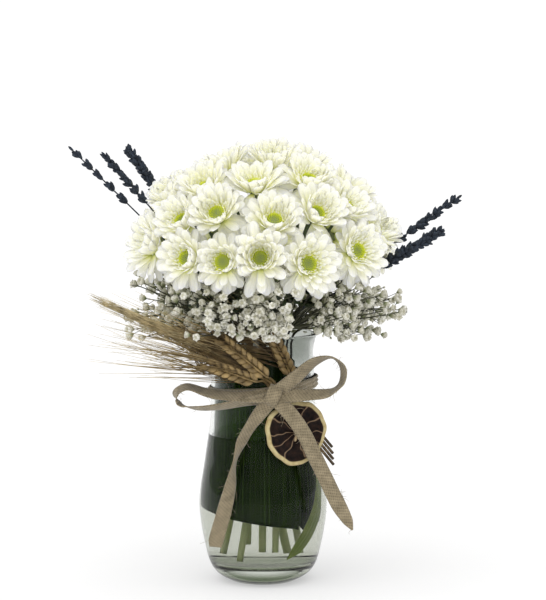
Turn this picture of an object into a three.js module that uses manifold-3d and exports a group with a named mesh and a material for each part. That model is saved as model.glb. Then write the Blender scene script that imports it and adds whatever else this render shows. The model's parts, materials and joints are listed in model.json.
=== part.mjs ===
// Daisy chrysanthemums in a glass vase: a hand-tied bouquet with baby's breath, dried lavender,
// bearded wheat, a jute bow and a dried citrus slice.
// Millimetres, +Z up. The origin is the middle of the vase's foot, and the front faces -Y.
import * as THREE from "three";
import { mergeVertices } from "three/addons/utils/BufferGeometryUtils.js";
import Module from "manifold-3d";

const wasm = await Module();
wasm.setup();

// ---------------------------------------------------------------- driving dimensions
const GAP = 0.35; // between pieces that rest against each other
const FUSE_TOLERANCE = 0.05;

const VASE_HEIGHT = 218;
const VASE_FOOT_RADIUS = 29;
const VASE_BELLY_RADIUS = 56.2;
const VASE_BELLY_HEIGHT = 66;
const VASE_NECK_RADIUS = 43.8;
const VASE_NECK_HEIGHT = 201;
const VASE_RIM_RADIUS = 47;
const VASE_WALL = 3;
const VASE_FLOOR = 16; // thickness of the glass under the water
const VASE_SIDES = 24;
const WATER_LEVEL = 129;

const LINER_RADIUS = 37.4; // the broad leaf rolled up inside the vase
const LINER_OVERLAP = 3.4; // how far its inner turn lies inside the outer one
const LINER_TURN = 435; // degrees it wraps round
const LINER_EDGE_AZIMUTH = 45; // where its outer edge shows, to the right of the front
const LINER_LOW = 50;
const LINER_HIGH = 186;
const LEAF_THICKNESS = 0.9;

const STEM_TWIST = 38; // degrees that the sheaf turns between the neck and the stems' cut ends
const NECK_TOP = 196; // where the stems are gathered
const FORK_REACH = 40; // from the crown's base to where a spray branches

const CROWN_BASE = new THREE.Vector3(0, 0, 215); // where the stems start to fan out
const DOME_CENTRE = new THREE.Vector3(0, 0, 270);
const DOME_RADIUS = 104; // of the shell that the bloom hubs lie on
const DOME_RISE = 94;

const PETAL_LENGTH = 21;
const PETAL_WIDTH = 9;
const PETAL_KEEL = 1; // a petal's thickness down its middle
const PETAL_SHARE = 0.94; // of the room it has between its neighbours
const OUTER_PETALS = 12;
const INNER_PETALS = 7;
const HUB_SIDES = 5;
const HUB_HOLE = 4.4;
const OUTER_RIM = 9.6; // where each row of petals leaves the hub
const INNER_RIM = 8.2;
const HUB_HEIGHT = 3.4;
const DISC_RADIUS = 6.8; // the green eye of a bloom
const CELL_MARGIN = 0.35; // a petal keeps this far inside its bloom's share of the dome
const LAVENDER_MARGIN = 4;

const MUM_STEM = 2.4;
const MUM_STEM_STEPS = 7;
const MUM_BRANCH = 1.3;
const GYP_STEM = 1.1;
const LAVENDER_STEM = 0.9;
const STRAW = 1.2;
const STRAW_PITCH = 2.9; // between neighbouring straws
const AWNS = 6; // to an ear

const RIBBON_WIDTH = 13;
const RIBBON_THICKNESS = 1;
const KNOT = new THREE.Vector3(8.5, -57, 170);
const BAND_HEIGHT = 171; // of the band's middle at the vase's sides
const BAND_RISE = 5; // higher on the right, lower on the left
const BAND_LIFT = 5.8; // clear of the glass over the straws

const SLICE_RADIUS = 27;
const SLICE_THICKNESS = 5;
const SLICE_SEGMENTS = 10;

// ---------------------------------------------------------------- colours and finishes
function finish(colour, roughness, metalness = 0) {
  return new THREE.MeshStandardMaterial({ color: colour, roughness, metalness });
}

const glass = finish(0xdfe9e6, 0.05);
glass.transparent = true;
glass.opacity = 0.35;
const water = finish(0xe6efe9, 0.03);
water.transparent = true;
water.opacity = 0.4;
const darkLeaf = finish(0x23431a, 0.45);
const bladeLeaf = finish(0x54733a, 0.5);
const mumGreen = finish(0x8aa84b, 0.6);
const petalWhite = finish(0xf3f2e8, 0.55);
const gypCream = finish(0xe6e3d3, 0.8);
const lavenderBlue = finish(0x262b45, 0.9);
const wheatStraw = finish(0xa98a5c, 0.8);
const jute = finish(0x9c8264, 0.95);
const citrus = finish(0x7a5a33, 0.75);

// ---------------------------------------------------------------- small helpers
const UP = new THREE.Vector3(0, 0, 1);
const radians = THREE.MathUtils.degToRad;
const vec = (x, y, z) => new THREE.Vector3(x, y, z);

// Azimuth 0 is the front (-Y) and grows to the right (+X).
function polar(azimuth, radius, z) {
  const a = radians(azimuth);
  return vec(radius * Math.sin(a), -radius * Math.cos(a), z);
}

function direction(azimuth, elevation) {
  const e = radians(elevation);
  return polar(azimuth, Math.cos(e), Math.sin(e));
}

function along(point, heading, distance) {
  return point.clone().addScaledVector(heading, distance);
}

function seeded(seed) {
  let state = seed;
  return function draw(low = 0, high = 1) {
    state = (state + 0x6d2b79f5) | 0;
    let t = Math.imul(state ^ (state >>> 15), 1 | state);
    t = (t + Math.imul(t ^ (t >>> 7), 61 | t)) ^ t;
    return low + (high - low) * (((t ^ (t >>> 14)) >>> 0) / 4294967296);
  };
}

// Two unit vectors square to a heading, turned about it by `roll` degrees.
function crossAxes(heading, roll = 0) {
  const side = Math.abs(heading.z) < 0.9 ? UP : vec(1, 0, 0);
  const u = side.clone().cross(heading).normalize().applyAxisAngle(heading, radians(roll));
  return [u, heading.clone().cross(u)];
}

function ring(centre, heading, radius, sides, roll = 0) {
  const [u, v] = crossAxes(heading, roll);
  return Array.from({ length: sides }, (_, i) => {
    const a = (2 * Math.PI * i) / sides;
    return along(along(centre, u, radius * Math.cos(a)), v, radius * Math.sin(a));
  });
}

function meshOf(points, faces) {
  const geometry = new THREE.BufferGeometry();
  const flat = points.flatMap((p) => p.toArray());
  geometry.setAttribute("position", new THREE.Float32BufferAttribute(flat, 3));
  geometry.setIndex(facingOut(points, faces).flat());
  return geometry;
}

function facingOut(points, faces) {
  const volume = faces.reduce((sum, [a, b, c]) => {
    return sum + points[a].dot(points[b].clone().cross(points[c]));
  }, 0);
  return volume > 0 ? faces : faces.map(([a, b, c]) => [a, c, b]);
}

// Triangles between two closed rings of point numbers that run the same way round; a ring may
// be a single point.
function strip(ringA, ringB) {
  const faces = [];
  const [a, b] = [ringA.length, ringB.length];
  let i = 0;
  let j = 0;
  while (i < (a > 1 ? a : 0) || j < (b > 1 ? b : 0)) {
    const [p, q] = [ringA[i % a], ringB[j % b]];
    const stepA = a > 1 && (b === 1 || j >= b || (i + 0.5) / a <= (j + 0.5) / b);
    if (stepA) i += 1;
    else j += 1;
    faces.push(stepA ? [p, ringA[i % a], q] : [p, ringB[j % b], q]);
  }
  return faces;
}

function countFrom(first, count) {
  return Array.from({ length: count }, (_, i) => first + i);
}

// A closed skin over a row of rings; a ring at either end is capped, and a point needs no cap.
function loft(rings) {
  const faces = [];
  let start = 0;
  for (let k = 0; k + 1 < rings.length; k += 1) {
    const next = start + rings[k].length;
    faces.push(...strip(countFrom(start, rings[k].length), countFrom(next, rings[k + 1].length)));
    start = next;
  }
  const last = rings[rings.length - 1].length;
  for (let i = 1; i + 1 < rings[0].length; i += 1) faces.push([0, i + 1, i]);
  for (let i = 1; i + 1 < last; i += 1) faces.push([start, start + i, start + i + 1]);
  return meshOf(rings.flat(), faces);
}

// A stem of even thickness: a regular polygon carried along a smooth path.
function stem(points, radius, sides, steps) {
  const shape = new THREE.Shape(
    Array.from({ length: sides }, (_, i) => {
      const a = (2 * Math.PI * i) / sides;
      return new THREE.Vector2(radius * Math.cos(a), radius * Math.sin(a));
    }),
  );
  const extrudePath = new THREE.CatmullRomCurve3(points);
  return new THREE.ExtrudeGeometry(shape, { steps, extrudePath, curveSegments: 1 });
}

// A straight three-sided needle that ends in a point.
function needle(from, to, radius) {
  const heading = to.clone().sub(from).normalize();
  return loft([ring(from, heading, radius, 3), [to]]);
}

// A blade with a diamond section: `stations` hold [distance, half width, lift].
function blade(root, heading, face, stations, thickness) {
  const side = heading.clone().cross(face).normalize();
  const rings = stations.map(([distance, half, lift]) => {
    const centre = along(along(root, heading, distance), face, lift);
    if (half === 0) return [centre];
    return [
      along(centre, side, half),
      along(centre, face, thickness / 2),
      along(centre, side, -half),
      along(centre, face, -thickness / 2),
    ];
  });
  return loft(rings);
}

function solidOf(geometry) {
  const bare = geometry.clone();
  bare.deleteAttribute("normal");
  bare.deleteAttribute("uv");
  const welded = mergeVertices(bare, 1e-4);
  const vertProperties = new Float32Array(welded.attributes.position.array);
  const triVerts = new Uint32Array(welded.index.array);
  return new wasm.Manifold(new wasm.Mesh({ numProp: 3, vertProperties, triVerts }));
}

function geometryOf(solid) {
  const mesh = solid.getMesh();
  const geometry = new THREE.BufferGeometry();
  geometry.setAttribute("position", new THREE.BufferAttribute(mesh.vertProperties, 3));
  geometry.setIndex(new THREE.BufferAttribute(mesh.triVerts, 1));
  return geometry;
}

// One body from many overlapping skins: sealed hollows are filled and loose scraps dropped.
function fused(geometries) {
  const pieces = wasm.Manifold.union(geometries.map(solidOf)).simplify(FUSE_TOLERANCE).decompose();
  return pieces.reduce((best, piece) => (piece.volume() > best.volume() ? piece : best));
}

// What is already in place; a candidate twig or head is kept only where it meets none of it.
const placed = [];

function isClear(geometry) {
  const candidate = solidOf(geometry);
  const box = candidate.boundingBox();
  return placed.every((solid) => {
    const other = solid.boundingBox();
    const apart = [0, 1, 2].some((k) => box.min[k] > other.max[k] || box.max[k] < other.min[k]);
    return apart || candidate.intersect(solid).isEmpty();
  });
}

const vaseWithDaisies = new THREE.Group();

function addSolid(name, solid, material) {
  placed.push(solid);
  const mesh = new THREE.Mesh(geometryOf(solid), material);
  mesh.name = name;
  vaseWithDaisies.add(mesh);
}

// ---------------------------------------------------------------- glass vase and water
const vaseOutline = new THREE.SplineCurve([
  new THREE.Vector2(VASE_FOOT_RADIUS, 0),
  new THREE.Vector2(42, 8),
  new THREE.Vector2(49.5, 24),
  new THREE.Vector2(VASE_BELLY_RADIUS, VASE_BELLY_HEIGHT),
  new THREE.Vector2(51, 108),
  new THREE.Vector2(46.4, 142),
  new THREE.Vector2(45.6, 172),
  new THREE.Vector2(VASE_NECK_RADIUS, VASE_NECK_HEIGHT),
  new THREE.Vector2(VASE_RIM_RADIUS, VASE_HEIGHT),
]);
const outlinePoints = vaseOutline.getPoints(160);

// The glass's outer radius at a height, read off its outline.
function vaseRadius(z) {
  const k = Math.max(1, outlinePoints.findIndex((p) => p.y >= z));
  const [low, high] = [outlinePoints[k - 1], outlinePoints[k]];
  return low.x + ((high.x - low.x) * (z - low.y)) / (high.y - low.y);
}

// The inside: an even wall that thickens towards the floor.
function boreRadius(z) {
  const thickening = Math.max(0, (40 - z) / 24) ** 2 * 9;
  return vaseRadius(z) - VASE_WALL - thickening;
}

function lathe(profile) {
  return new THREE.LatheGeometry(profile, VASE_SIDES).rotateX(Math.PI / 2);
}

function buildVase() {
  const heights = [5, 15, 33, 60, 84, 108, 134, 168, 200];
  const inner = heights.filter((z) => z > VASE_FLOOR + 4).reverse();
  const profile = [
    new THREE.Vector2(0, 0),
    new THREE.Vector2(VASE_FOOT_RADIUS, 0),
    ...heights.map((z) => new THREE.Vector2(vaseRadius(z), z)),
    new THREE.Vector2(VASE_RIM_RADIUS, VASE_HEIGHT - 1),
    new THREE.Vector2(VASE_RIM_RADIUS - 1.4, VASE_HEIGHT),
    new THREE.Vector2(VASE_RIM_RADIUS - VASE_WALL, VASE_HEIGHT - 1),
    ...inner.map((z) => new THREE.Vector2(boreRadius(z), z)),
    new THREE.Vector2(boreRadius(VASE_FLOOR), VASE_FLOOR),
    new THREE.Vector2(0, VASE_FLOOR),
  ];
  return solidOf(lathe(profile));
}

function waterBody() {
  const heights = [33, 60, 84, 108];
  const profile = [
    new THREE.Vector2(0, VASE_FLOOR + GAP),
    new THREE.Vector2(boreRadius(VASE_FLOOR) - GAP, VASE_FLOOR + GAP),
    ...heights.map((z) => new THREE.Vector2(boreRadius(z) - GAP, z)),
    new THREE.Vector2(boreRadius(WATER_LEVEL) - GAP, WATER_LEVEL),
    new THREE.Vector2(0, WATER_LEVEL),
  ];
  return solidOf(lathe(profile));
}

// ---------------------------------------------------------------- leaves in the vase
// A broad leaf rolled into a tube: `t` runs 0..1 from its outer edge to its inner one.
function linerPoint(t, z, outward) {
  const azimuth = LINER_EDGE_AZIMUTH - LINER_TURN * t;
  return polar(azimuth, LINER_RADIUS - LINER_OVERLAP * t + outward, z);
}

function linerLeaf(extra) {
  const columns = 24;
  const rows = 2;
  const half = LEAF_THICKNESS / 2 + extra;
  const endShare = extra / (LINER_RADIUS * radians(LINER_TURN));
  const rings = Array.from({ length: columns + 1 }, (_, i) => {
    const t = i / columns;
    const reach = -endShare + (1 + 2 * endShare) * t;
    const low = LINER_LOW + 24 * t ** 0.8 + 5 * Math.sin(Math.PI * t) - extra;
    const high = LINER_HIGH + 3 * Math.sin(5 * t) + extra;
    const heights = Array.from({ length: rows + 1 }, (_, k) => low + ((high - low) * k) / rows);
    return [
      ...heights.map((z) => linerPoint(reach, z, half)),
      ...heights.reverse().map((z) => linerPoint(reach, z, -half)),
    ];
  });
  return loft(rings);
}

// A narrow leaf that leans along the inside of the glass, tip down.
function wallBlade(extra) {
  const stations = [
    [30, 37.5, 24, 0],
    [40, 42.5, 33, 4.6],
    [52, 47.4, 48, 6.6],
    [62, 49.8, 66, 6.8],
    [69, 48.4, 86, 5],
    [74, 44.6, 108, 2.6],
    [76, 42.9, 124, 1.8],
    [77, 42.5, 137, 0],
  ];
  const rings = stations.map(([azimuth, radius, z, half]) => {
    const centre = polar(azimuth, radius, z);
    if (half === 0) return [centre];
    const out = direction(azimuth, 0);
    const across = vec(out.y, -out.x, 0.75).normalize();
    return [
      along(centre, across, half + extra),
      along(centre, out, LEAF_THICKNESS / 2 + extra),
      along(centre, across, -half - extra),
      along(centre, out, -LEAF_THICKNESS / 2 - extra),
    ];
  });
  return loft(rings);
}

// ---------------------------------------------------------------- stems through the neck
// Each stem keeps its own place `u` in the sheaf, which narrows at the neck and turns on its way up.
const sheafWidth = new THREE.SplineCurve([
  new THREE.Vector2(52, 20),
  new THREE.Vector2(34, 84),
  new THREE.Vector2(27, 150),
  new THREE.Vector2(27, 200),
  new THREE.Vector2(31, 224),
]);

function sheafPoint(azimuth, share, z) {
  const spot = sheafWidth.getPoints(80).find((p) => p.y >= z) ?? new THREE.Vector2(31, z);
  const twist = -STEM_TWIST * Math.max(0, (200 - z) / 180);
  return polar(azimuth + twist, spot.x * share, z);
}

function sheafPath(azimuth, share, bottom, ends) {
  const heights = [bottom + (NECK_TOP - bottom) * 0.45, NECK_TOP];
  const middle = heights.map((z) => sheafPoint(azimuth, share, z));
  return [sheafPoint(azimuth, share, bottom), ...middle, ...ends];
}

// ---------------------------------------------------------------- the blooms' places
// Each spray: its stem's azimuth and share of the sheaf, its cut end's height,
// and its blooms as [azimuth, elevation on the dome, size].
const SPRAYS = [
  {
    name: "front",
    azimuth: -4,
    share: 0.5,
    bottom: 21,
    blooms: [[-18, 10, 0.85], [-1, 12, 1.15], [21, 9, 1.05], [6, 31, 1], [-26, 35, 1]],
  },
  {
    name: "front_right",
    azimuth: 57,
    share: 0.52,
    bottom: 30,
    blooms: [[31, 35, 1.05], [56, 37, 1], [50, 14, 1.05], [44, 58, 1], [82, 23, 1.05]],
  },
  {
    name: "back_right",
    azimuth: 122,
    share: 0.5,
    bottom: 26,
    blooms: [[113, 15, 1.15], [144, 17, 1.15], [96, 46, 1.1], [136, 45, 1.15]],
  },
  {
    name: "back",
    azimuth: 184,
    share: 0.5,
    bottom: 24,
    blooms: [[174, 15, 1.15], [-156, 17, 1.15], [180, 46, 1.15]],
  },
  {
    name: "back_left",
    azimuth: -122,
    share: 0.5,
    bottom: 33,
    blooms: [[-107, 18, 1.1], [-131, 15, 1.15], [-112, 46, 1.1], [-146, 44, 1.15]],
  },
  {
    name: "front_left",
    azimuth: -60,
    share: 0.52,
    bottom: 25,
    blooms: [[-67, 16, 1.15], [-47, 30, 0.95], [-37, 11, 0.95], [-77, 43, 1.05], [-47, 51, 1]],
  },
  {
    name: "top",
    azimuth: 20,
    share: 0.04,
    bottom: 28,
    blooms: [[-6, 54, 1], [-74, 71, 1.05], [40, 82, 1.05], [118, 69, 1.1], [-160, 70, 1.1]],
  },
];

// Dried lavender: each line's azimuth and elevation from the crown's base, how far its tip
// reaches, its stem's share of the sheaf, and the length of its flower spike.
const LAVENDER = [
  { name: "left_1", azimuth: -88, elevation: 44.5, reach: 234, share: 0.76, spike: 62 },
  { name: "left_2", azimuth: -83, elevation: 49, reach: 211, share: 0.66, spike: 50 },
  { name: "left_3", azimuth: -94, elevation: 54, reach: 202, share: 0.62, spike: 56 },
  { name: "right_1", azimuth: 89, elevation: 35.5, reach: 210, share: 0.76, spike: 62 },
  { name: "right_2", azimuth: 82, elevation: 31, reach: 182, share: 0.66, spike: 56 },
];

const ellipsoid = vec(DOME_RADIUS, DOME_RADIUS, DOME_RISE);
const blooms = SPRAYS.flatMap((spray) => {
  return spray.blooms.map(([azimuth, elevation, size]) => {
    const offset = direction(azimuth, elevation).multiply(ellipsoid);
    const hub = DOME_CENTRE.clone().add(offset);
    const axis = offset.clone().divide(ellipsoid).divide(ellipsoid).normalize();
    const ray = hub.clone().sub(CROWN_BASE).normalize();
    return { spray: spray.name, azimuth, elevation, size, hub, axis, ray };
  });
});

// A bloom's share of the dome: flat walls through the crown's base, midway to each neighbour,
// and a wall beside each stem of lavender.
function cellWalls(bloom) {
  const walls = blooms
    .filter((other) => other !== bloom && other.ray.dot(bloom.ray) > 0.5)
    .map((other) => [bloom.ray.clone().sub(other.ray).normalize(), CELL_MARGIN]);
  for (const { azimuth, elevation } of LAVENDER) {
    const line = direction(azimuth, elevation);
    const apart = along(bloom.ray, line, -bloom.ray.dot(line));
    walls.push([apart.normalize(), LAVENDER_MARGIN]);
  }
  return walls;
}

function isInside(point, walls) {
  const offset = point.clone().sub(CROWN_BASE);
  return walls.every(([normal, margin]) => offset.dot(normal) >= margin);
}

// ---------------------------------------------------------------- white petals
// A point of a bloom: distance from its axis, angle round it, sideways shift and height.
function bloomPoint(bloom, distance, angle, sideways, height) {
  const [u, v] = bloom.sides;
  const out = along(u.clone().multiplyScalar(Math.cos(angle)), v, Math.sin(angle));
  const across = bloom.axis.clone().cross(out);
  return along(along(along(bloom.hub, out, distance), across, sideways), bloom.axis, height);
}

// One petal's outline: left, tip, right, and the keel under its root. A petal bends down towards
// its tip, square to its own plane, so the straight keel below it gives it a body.
function petalPoints(bloom, row, angle, rise, length) {
  const lift = Math.sin(radians(rise));
  const spread = Math.cos(radians(rise));
  const shoulder = 0.62 * length;
  const room = (2 * Math.PI * (row.rim + shoulder * spread)) / row.count;
  const half = Math.min(row.width, room * PETAL_SHARE) / 2;
  const root = row.rim * Math.cos(Math.PI / row.count);
  const at = (from, s, sideways, drop) => {
    const distance = from + s * spread + drop * lift;
    return bloomPoint(bloom, distance, angle, sideways, row.height + s * lift - drop * spread);
  };
  const droop = row.recurve * length;
  return {
    left: at(row.rim, shoulder, -half, droop * 0.3),
    tip: at(row.rim, length, 0, droop),
    right: at(row.rim, shoulder, half, droop * 0.3),
    keel: at(root, 0, 0, PETAL_KEEL),
  };
}

// A petal is lifted, and at last shortened, until it lies inside its bloom's share.
function fittedPetal(bloom, row, angle, rise) {
  for (let length = row.length; length > 4; length *= 0.9) {
    for (let tilt = rise; tilt < row.steepest; tilt += 4) {
      const petal = petalPoints(bloom, row, angle, tilt, length);
      const fits = Object.values(petal).every((point) => isInside(point, bloom.walls));
      if (fits) return { ...petal, angle, tilt };
    }
  }
  throw new Error("no room for a petal");
}

// Both rows of petals and their hub as one closed skin, with a hole for the green eye's neck.
function petalRosette(bloom, random) {
  const points = [];
  const faces = [];
  const push = (point) => points.push(point) - 1;
  const hubRing = (radius, height) => {
    const numbers = countFrom(points.length, HUB_SIDES);
    numbers.forEach((_, i) => {
      push(bloomPoint(bloom, radius, (2 * Math.PI * i) / HUB_SIDES, 0, height));
    });
    return numbers;
  };
  const petalRow = (row, below = []) => {
    const step = (2 * Math.PI) / row.count;
    const valleys = countFrom(points.length, row.count);
    valleys.forEach((_, i) => {
      push(bloomPoint(bloom, row.rim, (i - 0.5 + row.phase) * step, 0, row.height));
    });
    const petals = valleys.map((from, i) => {
      const angle = (i + row.phase) * step;
      const beneath = below.filter((petal) => Math.cos(petal.angle - angle) > 0.82);
      const steepest = Math.max(0, ...beneath.map((petal) => petal.tilt));
      const rise = Math.max(row.rise + random(-5, 5), steepest + 8);
      const petal = fittedPetal(bloom, row, angle, rise);
      const [left, tip, right, keel] = [petal.left, petal.tip, petal.right, petal.keel].map(push);
      return { ...petal, left, tip, right, keel, from, to: valleys[(i + 1) % row.count] };
    });
    return { valleys, petals };
  };
  // The upper faces meet the hub at the valleys between petals, and the lower ones at the keels too.
  const addRow = (under, row, over) => {
    const keels = row.petals.flatMap((petal) => [petal.from, petal.keel]);
    faces.push(...strip(under, keels));
    faces.push(...strip(row.valleys, over));
    for (const { left, tip, right, keel, from, to } of row.petals) {
      faces.push([from, keel, left], [left, keel, tip], [tip, keel, right], [right, keel, to]);
      faces.push([to, from, left], [to, left, right], [right, left, tip]);
    }
  };
  const low = hubRing(HUB_HOLE, 0);
  const middle = hubRing(HUB_HOLE + 1.2, 1.8);
  const high = hubRing(HUB_HOLE, HUB_HEIGHT);
  const outer = petalRow({
    count: OUTER_PETALS,
    rim: OUTER_RIM,
    height: 0.9,
    length: PETAL_LENGTH * bloom.size,
    width: PETAL_WIDTH * bloom.size,
    rise: 8,
    steepest: 84,
    recurve: 0.1,
    phase: 0,
  });
  const innerRow = {
    count: INNER_PETALS,
    rim: INNER_RIM,
    height: 2.6,
    length: PETAL_LENGTH * 0.72 * bloom.size,
    width: PETAL_WIDTH * 0.9 * bloom.size,
    rise: 42,
    steepest: 98,
    recurve: 0.07,
    phase: 0.5,
  };
  const inner = petalRow(innerRow, outer.petals);
  addRow(low, outer, middle);
  addRow(middle, inner, high);
  faces.push(...strip(high, low));
  return meshOf(points, faces);
}

// ---------------------------------------------------------------- green sprays
// A bloom's stalk: branch, flared calyx, the neck through the petals' hub, and the domed eye.
function stalkAndEye(bloom, fork) {
  const section = (radius, height, sides = HUB_SIDES) => {
    return Array.from({ length: sides }, (_, i) => {
      return bloomPoint(bloom, radius, (2 * Math.PI * i) / sides, 0, height);
    });
  };
  const eye = HUB_HEIGHT + GAP;
  return loft([
    section(MUM_BRANCH, 0, 4).map((point) => point.sub(bloom.hub).add(fork)),
    section(MUM_BRANCH, -9, 4),
    section(HUB_HOLE + 1.6, -GAP),
    section(HUB_HOLE - GAP, -GAP),
    section(HUB_HOLE - GAP, eye),
    section(DISC_RADIUS, eye),
    [bloomPoint(bloom, 0, 0, 0, eye + 3)],
  ]);
}

// A lobed chrysanthemum leaf on its stalk.
function mumLeaf(root, heading, size) {
  const side = heading.clone().cross(UP).normalize();
  const face = side.clone().cross(heading).normalize();
  const stations = [
    [0, 0, 0],
    [13, 8.5, 0.4],
    [19, 4.6, 0.6],
    [27, 9.5, -0.6],
    [42, 0, -4.5],
  ].map(([distance, half, lift]) => [distance * size, half * size, lift * size]);
  return blade(root, heading, face, stations, 1.2);
}

function buildSprays() {
  const random = seeded(11);
  for (const spray of SPRAYS) {
    const own = blooms.filter((bloom) => bloom.spray === spray.name);
    const mean = own.reduce((sum, bloom) => sum.add(bloom.ray), vec(0, 0, 0)).normalize();
    const fork = along(CROWN_BASE, mean, FORK_REACH);
    const path = sheafPath(spray.azimuth, spray.share, spray.bottom, [
      sheafPoint(spray.azimuth, spray.share, 222),
      fork,
    ]);
    spray.path = [...path.slice(0, -1), along(fork, mean, 2)];
    const parts = [stem(spray.path, MUM_STEM, 5, MUM_STEM_STEPS)];
    for (const bloom of own) parts.push(stalkAndEye(bloom, fork));
    if (spray.name !== "top") {
      for (const turn of [-17, 15]) {
        const heading = direction(spray.azimuth + turn + random(-3, 3), random(6, 16));
        parts.push(mumLeaf(along(fork, heading, -1.5), heading, random(1.15, 1.35)));
      }
    }
    addSolid(`mum_spray_${spray.name}`, fused(parts), mumGreen);
  }
}

function buildBlooms() {
  const random = seeded(23);
  const counts = {};
  for (const bloom of blooms) {
    counts[bloom.spray] = (counts[bloom.spray] ?? 0) + 1;
    const name = `bloom_${bloom.spray}_${counts[bloom.spray]}`;
    addSolid(name, solidOf(petalRosette(bloom, random)), petalWhite);
  }
}

for (const bloom of blooms) {
  bloom.sides = crossAxes(bloom.axis, bloom.azimuth);
  bloom.walls = cellWalls(bloom);
}

// ---------------------------------------------------------------- dried lavender
// A flower spike: whorls of three buds raised from a slim core, each turned half a step.
function lavenderSpike(root, line, length, random) {
  const whorls = Math.round(length / 9.5);
  const rings = [ring(root, line, 1.1, 6)];
  for (let k = 0; k < whorls; k += 1) {
    const seat = (length * (k + 0.2)) / whorls;
    const reach = random(3.9, 4.9) * (k === whorls - 1 ? 0.75 : 1);
    const [u, v] = crossAxes(line);
    rings.push(ring(along(root, line, seat), line, 1.2, 6));
    rings.push(
      countFrom(0, 6).map((i) => {
        const isBud = (i + k) % 2 === 0;
        const radius = isBud ? reach : 1.7;
        const centre = along(root, line, seat + (isBud ? 6.5 : 3.5));
        const a = (Math.PI * i) / 3;
        return along(along(centre, u, radius * Math.cos(a)), v, radius * Math.sin(a));
      }),
    );
  }
  rings.push([along(root, line, length + 3)]);
  return loft(rings);
}

function buildLavender() {
  const random = seeded(37);
  for (const sprig of LAVENDER) {
    const line = direction(sprig.azimuth, sprig.elevation);
    const reachOf = (distance) => along(CROWN_BASE, line, distance);
    const root = sprig.reach - sprig.spike;
    const path = [
      ...[140, NECK_TOP, 218].map((z) => sheafPoint(sprig.azimuth, sprig.share, z)),
      ...[44, 84, root + 3].map(reachOf),
    ];
    const parts = [stem(path, LAVENDER_STEM, 3, 8)];
    parts.push(lavenderSpike(reachOf(root), line, sprig.spike, random));
    addSolid(`lavender_${sprig.name}`, fused(parts), lavenderBlue);
  }
}

// ---------------------------------------------------------------- bearded wheat
const TIE_AZIMUTH = 15;
const TIE_HEIGHT = 174;
const TIE_RADIUS = 46 + GAP + STRAW + 0.5;
const TIE_OUT = direction(TIE_AZIMUTH, 0);
const TIE_ACROSS = direction(TIE_AZIMUTH + 90, 0);

// The wheat lies in a plane that touches the vase at the tie; `layer` is how far out of it.
function wheatPoint(right, up, layer) {
  const base = TIE_OUT.clone().multiplyScalar(TIE_RADIUS + layer);
  return along(along(base, TIE_ACROSS, right), UP, TIE_HEIGHT + up);
}

// Each ear: its lean from upright to the left, its straw's place in the row, how far right of
// the tie its line passes, its layer, where it starts, its length, and how far over its beard
// is swept.
const EARS = [
  { lean: 25, place: 1.5, aside: 16.5, layer: 3, start: 9.5, length: 46, sweep: [46, 60], tilt: 0.1 },
  { lean: 50, place: 0.5, aside: 2, layer: 11.5, start: 17, length: 50, sweep: [60, 69], tilt: 0.02 },
  { lean: 58, place: -0.5, aside: 0, layer: 2, start: 20, length: 52, sweep: [64, 72], tilt: 0 },
  { lean: 69, place: -1.5, aside: 0, layer: 11, start: 21, length: 46, sweep: [68, 82], tilt: 0.02 },
];
// The first ear's straw comes up nearly upright under the band, close to the glass: how far
// right, how far up, and its layer.
const UPRIGHT_STRAW = [
  [49, -52, 0],
  [28, -27, -0.5],
  [14.5, -10, -1.5],
  [13, 4, -0.5],
];

// An ear as one skin: two rows of grains that overlap like a plait, left and right in turn.
function wheatEar(base, heading, length) {
  const side = heading.clone().cross(TIE_OUT).normalize();
  const steps = 11;
  const rings = countFrom(0, steps + 1).map((k) => {
    const t = k / steps;
    const girth = 0.42 + 0.58 * Math.min(1, t * 3.2, (1 - t) * 2.6 + 0.3);
    const right = girth * (k % 2 ? 6.4 : 3.6);
    const left = girth * (k % 2 ? 3.6 : 6.4);
    const thick = girth * 4.2;
    const centre = along(base, heading, length * t);
    const at = (across, out) => along(along(centre, side, across), TIE_OUT, out);
    return [
      at(right, 0),
      at(right * 0.45, thick),
      at(-left * 0.45, thick * 0.9),
      at(-left, 0),
      at(-left * 0.45, -thick),
      at(right * 0.45, -thick * 0.9),
    ];
  });
  return loft([[along(base, heading, -2)], ...rings, [along(base, heading, length + 3)]]);
}

function buildWheat() {
  const random = seeded(53);
  EARS.forEach((ear, index) => {
    const lean = radians(ear.lean);
    const at = (distance, layer) => {
      return wheatPoint(ear.aside - Math.sin(lean) * distance, Math.cos(lean) * distance, layer);
    };
    const shift = ear.place * STRAW_PITCH;
    const strawPlace = (down) => {
      return wheatPoint(down * 0.64 + shift * 0.77, -down * 0.77 + shift * 0.64, 0);
    };
    const base = at(ear.start, ear.layer);
    const heading = at(1, 0).sub(at(0, 0));
    const slanted = [72 + 4 * index, 36, 3, -8 - 1.5 * index].map(strawPlace);
    const straw = index === 0 ? UPRIGHT_STRAW.map((place) => wheatPoint(...place)) : slanted;
    const path = [...straw, along(base, heading, 4)];
    const parts = [stem(path, STRAW, 4, 9), wheatEar(base, heading, ear.length)];
    for (let k = 0; k < AWNS; k += 1) {
      const seat = along(base, heading, ear.length * (0.3 + 0.65 * (((k * 3) % AWNS) / AWNS)));
      const awn = tryPlaces(30, () => {
        const angle = radians(random(...ear.sweep));
        const sweep = wheatPoint(-Math.sin(angle), Math.cos(angle), random(-0.02, 0.03) + ear.tilt);
        const end = along(seat, sweep.sub(wheatPoint(0, 0, 0)).normalize(), random(92, 118));
        return { end, skin: needle(seat, end, 1.2) };
      });
      if (awn) parts.push(needle(seat, awn.end, 0.8));
    }
    addSolid(`wheat_ear_${index + 1}`, fused(parts), wheatStraw);
  });
}

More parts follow.
